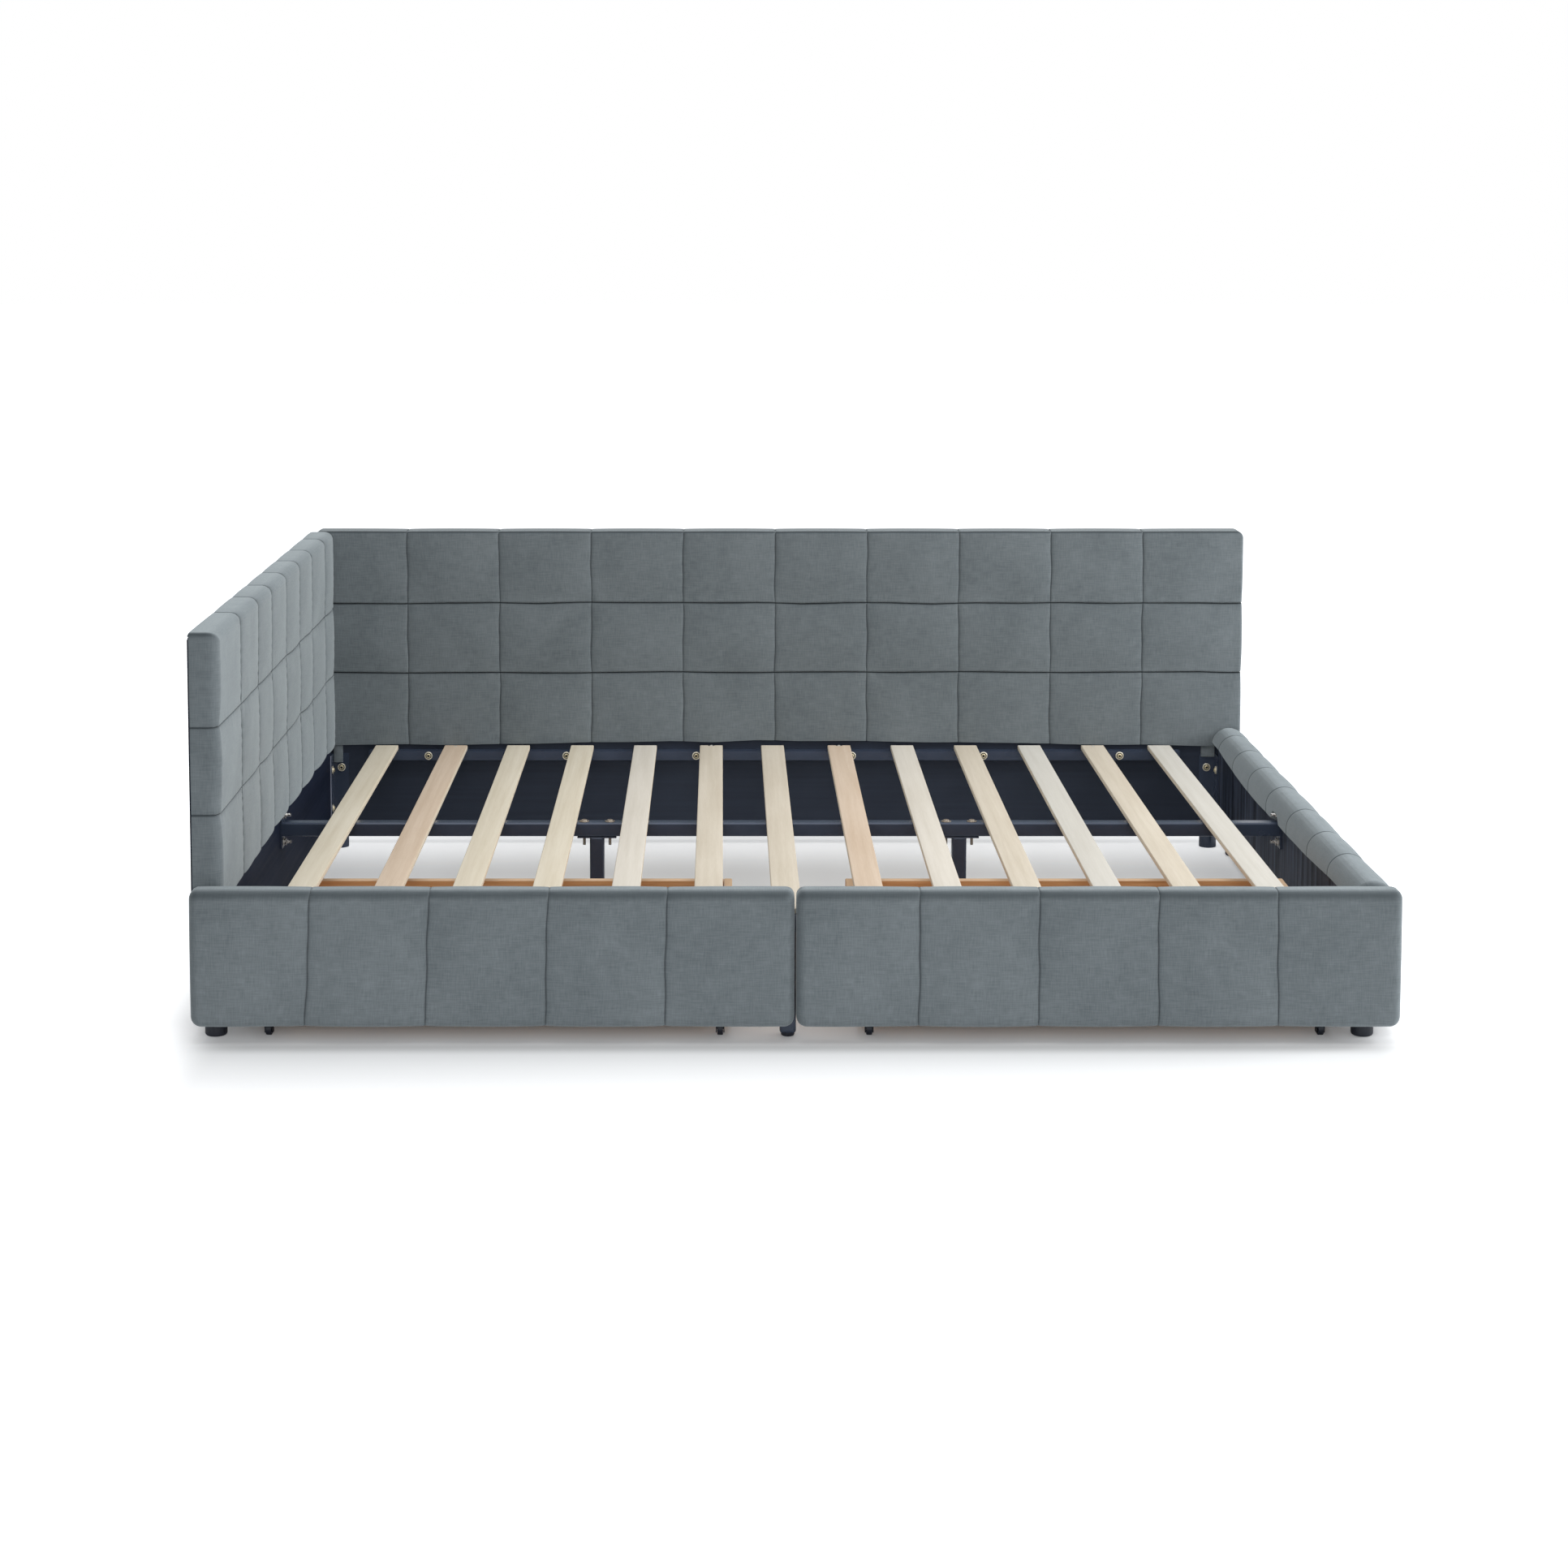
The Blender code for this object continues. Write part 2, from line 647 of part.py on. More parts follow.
def build_feet():
    front = FRAME_FRONT + FRONT_FOOT_SETBACK
    overlap = FOOT_DIAMETER / 2 - FRONT_FOOT_OVERLAP
    places = {
        "foot_side_panel": (SIDE_BOARD_INNER + overlap, front),
        "foot_end_rail_front": (END_BOARD_INNER - overlap, front),
        "foot_end_rail_rear": ((END_BOARD_INNER + END_BOARD_OUTER) / 2, SIDE_REAR - END_REAR_FOOT_SETBACK),
    }
    for name, (x, y) in places.items():
        foot = add_turned(name, foot_profile(), BLACK_PLASTIC, (x, y, 0))
        shade_smooth(foot.data)


def add_corner_leg(name, board_face, inward):
    """A bent angle plate in a rear corner, bolted to both boards, that stands on its own round foot."""
    corner_x = board_face + inward * TOUCH_GAP
    flange_x = corner_x + inward * ANGLE_FLANGE
    wall_x = corner_x + inward * ANGLE_THICKNESS
    rear = BACK_BOARD_FRONT - TOUCH_GAP
    bottom = CORNER_FOOT_HEIGHT
    leg = add_box(
        name,
        (min(corner_x, flange_x), rear - ANGLE_THICKNESS, bottom),
        (max(corner_x, flange_x), rear, ANGLE_TOP_HEIGHT),
        NAVY_STEEL,
    )
    wall = add_box(
        f"{name}_side_flange",
        (min(corner_x, wall_x), rear - ANGLE_FLANGE, bottom),
        (max(corner_x, wall_x), rear, ANGLE_TOP_HEIGHT),
        None,
        collection=CUTTERS,
    )
    sole = add_box(
        f"{name}_sole",
        (min(corner_x, flange_x), rear - ANGLE_FLANGE, bottom),
        (max(corner_x, flange_x), rear, bottom + ANGLE_THICKNESS),
        None,
        collection=CUTTERS,
    )
    foot = add_cylinder(
        f"{name}_foot",
        FOOT_DIAMETER - 2 * TOUCH_GAP,
        bottom + TOUCH_GAP,
        (0, 0, 0),
        ((corner_x + flange_x) / 2, rear - ANGLE_FLANGE / 2, (bottom + TOUCH_GAP) / 2),
        ROUND_STEPS,
    )
    for piece in (wall, sole, foot):
        combine(leg, piece, "UNION")


def build_slats():
    for number, share in enumerate(SLAT_SHARES, start=1):
        middle = SIDE_BOARD_INNER + DECK_LENGTH * share
        add_box(
            f"slat_{number:02d}",
            (middle - SLAT_WIDTH / 2, SLAT_FRONT, SLAT_BOTTOM),
            (middle + SLAT_WIDTH / 2, SLAT_REAR, SLAT_BOTTOM + SLAT_THICKNESS),
            SLAT_WOOD,
            SLAT_EDGE,
        )


def caster_mesh():
    """The moulded caster housing: a plate, two tapering cheeks and the axle between them. Its origin is the axle."""
    plate_top = BOX_BOTTOM_HEIGHT - TOUCH_GAP - WHEEL_RADIUS
    plate_low = plate_top - CASTER_PLATE_THICKNESS
    cheek_low = CASTER_CHEEK_GAP - WHEEL_RADIUS
    slot = WHEEL_WIDTH + 2 * WHEEL_SIDE_GAP
    outside = slot + 2 * CASTER_CHEEK
    shape = box_shape((outside, CASTER_CHEEK_DEPTH, plate_top - cheek_low))
    bmesh.ops.translate(shape, vec=(0, 0, (plate_top + cheek_low) / 2), verts=shape.verts[:])
    for vert in shape.verts:
        if vert.co.z < 0:
            vert.co.y *= CASTER_CHEEK_TAPER_SHARE
    housing = add_object("caster_housing_block", mesh_from("caster_housing", shape), BLACK_PLASTIC)
    groove = add_box(
        "caster_wheel_slot",
        (-slot / 2, -CASTER_PLATE_DEPTH, -WHEEL_RADIUS - CUTTER_REACH),
        (slot / 2, CASTER_PLATE_DEPTH, plate_low),
        None,
        collection=CUTTERS,
    )
    plate = add_box(
        "caster_plate",
        (-CASTER_PLATE_WIDTH / 2, -CASTER_PLATE_DEPTH / 2, plate_low),
        (CASTER_PLATE_WIDTH / 2, CASTER_PLATE_DEPTH / 2, plate_top),
        None,
        collection=CUTTERS,
    )
    axle = add_cylinder(
        "caster_axle", AXLE_DIAMETER, slot + CASTER_CHEEK, (0, math.pi / 2, 0), (0, 0, 0), AXLE_STEPS
    )
    combine(housing, groove, "DIFFERENCE")
    combine(housing, plate, "UNION")
    combine(housing, axle, "UNION")
    mesh = apply_modifiers(housing)
    mesh.name = "caster_housing"
    bpy.data.objects.remove(housing, do_unlink=True)
    return mesh


def wheel_mesh():
    """A wheel round the local Z axis, with a bore, recessed sides and rounded shoulders."""
    bore = AXLE_DIAMETER / 2 + AXLE_GAP
    half = WHEEL_WIDTH / 2
    hub = bore + WHEEL_RECESS
    rim = WHEEL_RADIUS - 2 * WHEEL_RECESS
    shoulder = (WHEEL_RADIUS - WHEEL_ROUND, half - WHEEL_ROUND)
    upper = quarter_arc(shoulder, WHEEL_ROUND, math.pi / 2, steps=2)
    lower = quarter_arc((shoulder[0], -shoulder[1]), WHEEL_ROUND, 0, steps=2)
    profile = [
        (bore, half),
        (hub, half),
        (hub, half - WHEEL_RECESS),
        (rim, half - WHEEL_RECESS),
        (rim, half),
        *upper,
        *lower,
        (rim, -half),
        (rim, WHEEL_RECESS - half),
        (hub, WHEEL_RECESS - half),
        (hub, -half),
        (bore, -half),
    ]
    wheel = add_turned("wheel_blank", profile, BLACK_PLASTIC, (0, 0, 0), closed=True)
    mesh = apply_modifiers(wheel)
    mesh.name = "caster_wheel"
    shade_smooth(mesh)
    bpy.data.objects.remove(wheel, do_unlink=True)
    return mesh


def add_carrier(name, location, parent=None):
    """An empty that stands at a joint and carries the pieces that move with it."""
    empty = bpy.data.objects.new(name, None)
    empty.location = location
    PARTS.objects.link(empty)
    if parent:
        hang_on(parent, empty)
    return empty


def hang_on(parent, child):
    """Parents a piece without moving it."""
    bpy.context.view_layer.update()
    child.parent = parent
    child.matrix_parent_inverse = parent.matrix_world.inverted()


def add_drawer_front(name, middle):
    half = DRAWER_FRONT_LENGTH / 2
    height = LOW_TOP_HEIGHT - DRAWER_FRONT_BOTTOM
    board_front = -HALF_DEPTH + PAD_CROWN
    board_half = half - PAD_WRAP
    board_low = DRAWER_FRONT_BOTTOM + PAD_WRAP
    board_top = LOW_TOP_HEIGHT - PAD_WRAP
    board = add_box(
        f"{name}_front_board",
        (middle - board_half, board_front, board_low),
        (middle + board_half, DRAWER_FRONT_REAR, board_top),
        NAVY_BOARD,
        BOARD_EDGE,
    )
    shape = padding_shape(
        DRAWER_FRONT_LENGTH,
        height,
        DRAWER_FRONT_DEPTH - PAD_CROWN,
        even_seams(DRAWER_FRONT_LENGTH, DRAWER_COLUMNS),
        [0, height],
        (PAD_EDGE_RADIUS, 0, DRAWER_FRONT_CORNER),
        hem=False,
    )
    pad = add_padding(f"{name}_front_pad", shape, (middle, board_front, DRAWER_FRONT_BOTTOM))
    carve_padding(
        pad,
        f"{name}_front_hollow",
        (middle - board_half - TOUCH_GAP, board_front - TOUCH_GAP, board_low - TOUCH_GAP),
        (middle + board_half + TOUCH_GAP, DRAWER_FRONT_REAR + CUTTER_REACH, board_top + TOUCH_GAP),
    )
    return [board, pad]


def add_drawer_box(name, middle):
    """The box behind a drawer front: a bottom panel, two sides that stand on it, and a back between them."""
    low, high = middle - BOX_WIDTH / 2, middle + BOX_WIDTH / 2
    wall_bottom = BOX_BOTTOM_HEIGHT + BOX_BOTTOM_THICKNESS + TOUCH_GAP
    panels = {
        "bottom": ((low, BOX_FRONT, BOX_BOTTOM_HEIGHT), (high, BOX_REAR, wall_bottom - TOUCH_GAP)),
        "side_left": ((low, BOX_FRONT, wall_bottom), (low + BOX_BOARD, BOX_REAR, BOX_TOP_HEIGHT)),
        "side_right": ((high - BOX_BOARD, BOX_FRONT, wall_bottom), (high, BOX_REAR, BOX_TOP_HEIGHT)),
        "back": (
            (low + BOX_BOARD + TOUCH_GAP, BOX_REAR - BOX_BOARD, wall_bottom),
            (high - BOX_BOARD - TOUCH_GAP, BOX_REAR, BOX_TOP_HEIGHT),
        ),
    }
    return [
        add_box(f"{name}_{panel}", corner, far_corner, DRAWER_WOOD, BOARD_EDGE)
        for panel, (corner, far_corner) in panels.items()
    ]


def build_drawer(name, middle, housing, wheel):
    carrier = add_carrier(f"{name}_carrier", (middle, -HALF_DEPTH, 0))
    pieces = add_drawer_front(name, middle) + add_drawer_box(name, middle)
    caster_front = DRAWER_FRONT_REAR + CASTER_FRONT_SETBACK
    caster_rear = BOX_REAR - CASTER_REAR_SETBACK
    places = [
        (middle + side * CASTER_SPACING / 2, y, WHEEL_RADIUS) for y in (caster_front, caster_rear) for side in (-1, 1)
    ]
    for number, place in enumerate(places, start=1):
        pieces.append(add_object(f"{name}_caster_{number}", housing, BLACK_PLASTIC, place))
        axle = add_carrier(f"{name}_axle_{number}", place, carrier)
        roller = add_object(f"{name}_wheel_{number}", wheel, BLACK_PLASTIC, place)
        roller.rotation_euler.y = math.pi / 2
        hang_on(axle, roller)
    for piece in pieces:
        hang_on(carrier, piece)


def build_drawers():
    housing = caster_mesh()
    wheel = wheel_mesh()
    middle = (DRAWER_FRONT_LENGTH + DRAWER_FRONT_GAP) / 2
    build_drawer("drawer_left", -middle, housing, wheel)
    build_drawer("drawer_right", middle, housing, wheel)


build_back_panel()
build_side_panel()
build_end_rail()
build_rear_slat_rail()
build_cross_rails()
build_legs()
build_feet()
add_corner_leg("rear_corner_leg_left", SIDE_BOARD_INNER, 1)
add_corner_leg("rear_corner_leg_right", END_BOARD_INNER, -1)
build_slats()
build_drawers()
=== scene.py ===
"""Looks of a storage sofa bed: stitched velvet pads, birch slats, bolts, finishes, light and camera.

Each sub-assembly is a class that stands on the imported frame, in metres, with +Z up.
"""

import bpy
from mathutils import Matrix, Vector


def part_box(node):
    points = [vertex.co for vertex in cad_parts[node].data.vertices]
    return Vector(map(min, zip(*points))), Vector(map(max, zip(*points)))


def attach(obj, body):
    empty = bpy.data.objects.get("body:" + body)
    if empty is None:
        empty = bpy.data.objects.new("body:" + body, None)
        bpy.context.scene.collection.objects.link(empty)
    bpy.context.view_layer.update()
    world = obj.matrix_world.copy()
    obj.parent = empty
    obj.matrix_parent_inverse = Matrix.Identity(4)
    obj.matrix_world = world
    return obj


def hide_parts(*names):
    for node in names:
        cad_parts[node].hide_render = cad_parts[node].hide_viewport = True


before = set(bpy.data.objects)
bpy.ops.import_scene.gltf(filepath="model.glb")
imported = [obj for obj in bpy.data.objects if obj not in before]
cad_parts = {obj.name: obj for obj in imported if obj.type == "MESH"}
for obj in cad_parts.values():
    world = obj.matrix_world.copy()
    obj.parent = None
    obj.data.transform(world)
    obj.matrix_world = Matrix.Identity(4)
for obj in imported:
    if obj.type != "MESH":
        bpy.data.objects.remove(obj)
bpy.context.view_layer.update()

import logging
import math
from dataclasses import dataclass
from enum import Enum

import bpy
import numpy as np
from mathutils import Vector

Array = np.ndarray
Colour = tuple[int, int, int]
Place = tuple[float, float, float]
Span = tuple[float, float]
Wave = tuple[float, float, float, float]

LOG = logging.getLogger("sofa_bed")
PLACE_STEP = 1e-7
FLAT_ANGLE = math.radians(35)
CLOTH_MAP = "cloth"
# point attribute of painted seam shade: it darkens the velvet along the seams for their grooves' shadow
SEAM_SHADE_MAP = "seam_shade"
ROUNDING_SHARES = np.array([0, 0.2, 0.41, 0.66, 1])
BORDER_SHARES = np.array([0, 0.1, 0.2, 0.3, 0.4, 0.52, 0.65, 0.8])
SEAM_STEPS = np.array([0, 0.0007, 0.0015, 0.0026, 0.0042, 0.0065, 0.01, 0.015])
SEAM_CLEARANCE = 0.019
EDGE_CLEARANCE = 0.002
HEAD_SINK = 0.001


class Facing(Enum):
    """Where a piece's own X, Y and Z axes point in the world."""

    UP = ((1, 0, 0), (0, 1, 0), (0, 0, 1))
    FRONT = ((1, 0, 0), (0, 0, 1), (0, -1, 0))
    RIGHT = ((0, 1, 0), (0, 0, 1), (1, 0, 0))
    LEFT = ((0, -1, 0), (0, 0, 1), (-1, 0, 0))
    PANEL_RIGHT = ((0, 1, 0), (-1, 0, 0), (0, 0, 1))


class Wrap(Enum):
    """How a pad's velvet goes round its board."""

    HEM = "over the top and the ends, down to a hem on the face"
    ROLL = "over the top, down to a lip on the far side"
    ROUND = "over all four edges"


# arrays


@dataclass
class Skin:
    """A surface as arrays.

    Args:
        points: places, (n, 3), in metres.
        quads: corner numbers, (m, 4), outwards by the right-hand rule. A triangle repeats a corner.
        cloth: metres along the cloth at each corner, (m, 4, 2), or None.
        seam_shade: painted shade of each point in a stitched seam's groove, (n,) from 0 to 1, or None.
    """

    points: Array
    quads: Array
    cloth: Array | None = None
    seam_shade: Array | None = None

    def placed(self, facing: Facing, origin: Place = (0.0, 0.0, 0.0)) -> "Skin":
        """The same surface, turned to a facing and set at an origin."""
        turned_points = self.points @ np.array(facing.value, float)
        return Skin(turned_points + np.array(origin), self.quads, self.cloth, self.seam_shade)

    def repeated(self, places: Array) -> "Skin":
        """One copy at each of the (k, 3) places, as one surface with separate bodies and no cloth map."""
        places = np.atleast_2d(np.array(places, float))
        points = (self.points[None] + places[:, None]).reshape(-1, 3)
        shift = np.arange(len(places))[:, None, None] * len(self.points)
        return Skin(points, (self.quads[None] + shift).reshape(-1, 4))


def gathered(skins: list[Skin]) -> Skin:
    """Several surfaces as one, each still a body of its own."""
    starts = np.cumsum([0] + [len(skin.points) for skin in skins[:-1]])
    quads = np.concatenate([skin.quads + start for skin, start in zip(skins, starts)])
    return Skin(np.concatenate([skin.points for skin in skins]), quads)


def grid_quads(rows: int, columns: int) -> Array:
    """Corner numbers of the quads of a grid of rows × columns points, looking along -(row × column)."""
    number = np.arange(rows * columns).reshape(rows, columns)
    corners = (number[:-1, :-1], number[:-1, 1:], number[1:, 1:], number[1:, :-1])
    return np.stack(corners, axis=-1).reshape(-1, 4)


def box_side(lines: tuple[Array, Array, Array], axis: int, high: bool) -> tuple[Array, Array]:
    """One side of a box as a grid on the box's dividing lines.

    Args:
        lines: where the box is divided along X, Y and Z, from its low to its high side.
        axis: the axis that the side faces along.
        high: True for the side at the axis's high end.

    Returns:
        The side's points, (n, 3), and its quads, (m, 4), facing outwards.
    """
    first, second = (axis + 1) % 3, (axis + 2) % 3
    across, along = np.meshgrid(lines[first], lines[second], indexing="ij")
    points = np.empty(across.shape + (3,))
    points[..., first], points[..., second] = across, along
    points[..., axis] = lines[axis][-1 if high else 0]
    quads = grid_quads(*across.shape)
    return points.reshape(-1, 3), quads[:, ::-1] if high else quads


def welded(sides: list[tuple[Array, Array]], cloth: list[Array]) -> tuple[Skin, Array]:
    """Joins grids where their points share a place.

    Args:
        sides: points and quads of each grid.
        cloth: metres along the cloth at each grid's points, (n, 2).

    Returns:
        The joined surface, and the metres along the cloth at each of its points.
    """
    starts = np.cumsum([0] + [len(points) for points, _ in sides[:-1]])
    points = np.concatenate([points for points, _ in sides])
    quads = np.concatenate([quads + start for (_, quads), start in zip(sides, starts)])
    metres = np.concatenate(cloth)
    steps = np.round(points / PLACE_STEP).astype(np.int64)
    _, first, number = np.unique(steps, axis=0, return_index=True, return_inverse=True)
    return Skin(points[first], number.reshape(-1)[quads], metres[quads]), metres[first]


def rim_edges(quads: Array) -> Array:
    """The edges that only one quad has, as (k, 2) corner numbers in that quad's own direction."""
    edges = np.concatenate([quads[:, [corner, (corner + 1) % 4]] for corner in range(4)])
    _, number, count = np.unique(np.sort(edges, axis=1), axis=0, return_inverse=True, return_counts=True)
    return edges[count[number.reshape(-1)] == 1]


def with_thickness(outer: Skin, inner_points: Array, metres: Array) -> Skin:
    """Closes an open surface with an inner one and the rim between them.

    Args:
        outer: the open outer surface.
        inner_points: where each of its points lies on the inner surface, (n, 3).
        metres: metres along the cloth at each point, (n, 2).

    Returns:
        One closed surface: the outer quads, the inner ones turned round, and a quad for each open edge.
    """
    count = len(outer.points)
    edges = rim_edges(outer.quads)
    rim = np.stack([edges[:, 1], edges[:, 0], edges[:, 0] + count, edges[:, 1] + count], axis=1)
    quads = np.concatenate([outer.quads, outer.quads[:, ::-1] + count, rim])
    rim_metres = metres[np.stack([edges[:, 1], edges[:, 0], edges[:, 0], edges[:, 1]], axis=1)]
    cloth = np.concatenate([outer.cloth, outer.cloth[:, ::-1], rim_metres])
    seam_shade = None if outer.seam_shade is None else np.concatenate([outer.seam_shade, np.zeros(count)])
    return Skin(np.concatenate([outer.points, inner_points]), quads, cloth, seam_shade)


def edge_lines(low: float, high: float, radius: float, extra: Array | None = None) -> Array:
    """Dividing lines of a length: close ones within the radius of both ends, and any extra ones between.

    Args:
        low: the length's start.
        high: its end.
        radius: how far each end's rounding reaches.
        extra: other places to divide it at.

    Returns:
        The places in rising order, without near doubles.
    """
    near = radius * ROUNDING_SHARES
    middle = [] if extra is None else list(extra)
    lines = np.unique(np.round(np.concatenate([low + near, high - near, middle]), 6))
    return lines[np.concatenate([[True], np.diff(lines) > PLACE_STEP * 10])]


def rounded_block(low: Array, high: Array, radius: float, extra: tuple = (None, None, None)) -> Skin:
    """A block with rounded edges and corners.

    Formula: each point of the box's skin has a nearest point on the core, which is the box drawn in by the
    radius on all sides; the point moves to lie one radius from there, along the line between the two.

    Args:
        low: the block's lowest corner.
        high: its highest corner.
        radius: the edges' radius.
        extra: more dividing lines along X, Y and Z.

    Returns:
        The closed surface.
    """
    low, high = np.array(low, float), np.array(high, float)
    lines = tuple(edge_lines(low[axis], high[axis], radius, extra[axis]) for axis in range(3))
    sides = [box_side(lines, axis, end) for axis in range(3) for end in (False, True)]
    skin, _ = welded(sides, [points[:, :2] for points, _ in sides])
    core = np.clip(skin.points, low + radius, high - radius)
    away = skin.points - core
    reach = np.linalg.norm(away, axis=1, keepdims=True)
    return Skin(core + away / np.where(reach > 0, reach, 1) * radius, skin.quads)


def turned(profile: list[Span], steps: int = 32, flats: dict[int, float] | None = None) -> Skin:
    """A turned piece round its own Z axis.

    Formula: point (ring i, angle a) is (r cos a, r sin a, h) with (r, h) the ring's pair. On a ring with
    flats the radius is r / cos of the angle from the nearest flat's middle, which makes it a hexagon r from
    its centre to a flat.

    Args:
        profile: radius and height of each ring, from the bottom's middle out and up to the top's middle.
        steps: how many points a ring has.
        flats: for each hexagonal ring's number, how far it is hexagonal, from 0 to 1.

    Returns:
        The closed surface.
    """
    rings = np.array(profile, float)
    angle = np.linspace(0, 2 * np.pi, steps, endpoint=False)
    sixth = np.pi / 3
    hexagon = 1 / np.cos((angle + sixth / 2) % sixth - sixth / 2)
    share = np.zeros(len(rings))
    for ring, amount in (flats or {}).items():
        share[ring] = amount
    radius = rings[:, :1] * (1 + share[:, None] * (hexagon - 1))
    points = np.stack(
        [radius * np.cos(angle), radius * np.sin(angle), np.repeat(rings[:, 1:], steps, axis=1)], axis=-1
    )
    number = np.arange(len(rings) * steps).reshape(len(rings), steps)
    number = np.where(rings[:, :1] > 0, number, number[:, :1])
    following = np.roll(number, -1, axis=1)
    quads = np.stack([number[:-1], following[:-1], following[1:], number[1:]], axis=-1).reshape(-1, 4)
    return Skin(points.reshape(-1, 3), quads)


# pieces


def mesh_of(name: str, skin: Skin) -> bpy.types.Mesh:
    """Puts a surface into a Blender mesh.

    Args:
        name: the mesh's name.
        skin: the surface. Corners that repeat the next one are left out, which makes triangles.

    Returns:
        The mesh, with a UV map in metres where the surface has one.
    """
    kept = skin.quads != np.roll(skin.quads, -1, axis=1)
    whole = kept.sum(axis=1) > 2
    quads, kept = skin.quads[whole], kept[whole]
    sizes = kept.sum(axis=1)
    mesh = bpy.data.meshes.new(name)
    mesh.vertices.add(len(skin.points))
    mesh.vertices.foreach_set("co", skin.points.astype(np.float32).ravel())
    mesh.loops.add(int(sizes.sum()))
    mesh.loops.foreach_set("vertex_index", quads[kept].astype(np.int32))
    mesh.polygons.add(len(quads))
    mesh.polygons.foreach_set("loop_start", np.concatenate([[0], np.cumsum(sizes)[:-1]]).astype(np.int32))
    if skin.cloth is not None:
        layer = mesh.uv_layers.new(name=CLOTH_MAP)
        layer.data.foreach_set("uv", skin.cloth[whole][kept].astype(np.float32).ravel())
    # the painted seam shade goes into the mesh as a point attribute
    if skin.seam_shade is not None:
        seam_shade_layer = mesh.attributes.new(SEAM_SHADE_MAP, "FLOAT", "POINT")
        seam_shade_layer.data.foreach_set("value", skin.seam_shade.astype(np.float32))
    mesh.update(calc_edges=True)
    mesh.validate()
    mesh.shade_smooth()
    mesh.set_sharp_from_angle(angle=FLAT_ANGLE)
    return mesh


def add_piece(
    name: str, skin: Skin, finish: "Finish", body: str = "frame"
) -> bpy.types.Object:
    """Makes a piece of the object.

    Args:
        name: the piece's name.
        skin: its surface, in the world's metres.
        finish: what it is made of.
        body: the moving body that it rides on.

    Returns:
        The object, at the origin.
    """
    piece = bpy.data.objects.new(name, mesh_of(name, skin))
    bpy.context.scene.collection.objects.link(piece)
    piece.data.materials.append(finish.material())
    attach(piece, body)
    LOG.info("%s: %d points on %s", name, len(skin.points), body)
    return piece


def dress_node(node: str, finish: "Finish") -> None:
    """Gives a carried-over CAD node its finish."""
    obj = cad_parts[node]
    for slot in obj.material_slots:
        slot.material = finish.material()
    if not obj.material_slots:
        obj.data.materials.append(finish.material())
    LOG.info("%s: dressed", node)


# shading


def linear(colour: Colour) -> tuple[float, float, float, float]:
    """An sRGB colour, 0 to 255, as the linear colour that a shader takes."""
    share = np.array(colour) / 255
    light = np.where(share <= 0.04045, share / 12.92, ((share + 0.055) / 1.055) ** 2.4)
    return (*light.tolist(), 1.0)


class Signal:
    """An output socket that takes part in sums: arithmetic on it adds the Math nodes."""

    def __init__(self, tree: "ShaderTree", socket: bpy.types.NodeSocket) -> None:
        """Keeps the tree and its socket."""
        self.tree = tree
        self.socket = socket

    def _sum(self, operation: str, first: "Signal | float", second: "Signal | float" = 0.0) -> "Signal":
        """One Math node on two values."""
        return self.tree.node("ShaderNodeMath", {"operation": operation}, {0: first, 1: second})

    def __add__(self, other: "Signal | float") -> "Signal":
        """This plus the other."""
        return self._sum("ADD", self, other)

    __radd__ = __add__

    def __sub__(self, other: "Signal | float") -> "Signal":
        """This less the other."""
        return self._sum("SUBTRACT", self, other)

    def __rsub__(self, other: float) -> "Signal":
        """The other less this."""
        return self._sum("SUBTRACT", other, self)

    def __mul__(self, other: "Signal | float") -> "Signal":
        """This times the other."""
        return self._sum("MULTIPLY", self, other)

    __rmul__ = __mul__

    def __gt__(self, other: float) -> "Signal":
        """1 where this is more than the other, and 0 elsewhere."""
        return self._sum("GREATER_THAN", self, other)


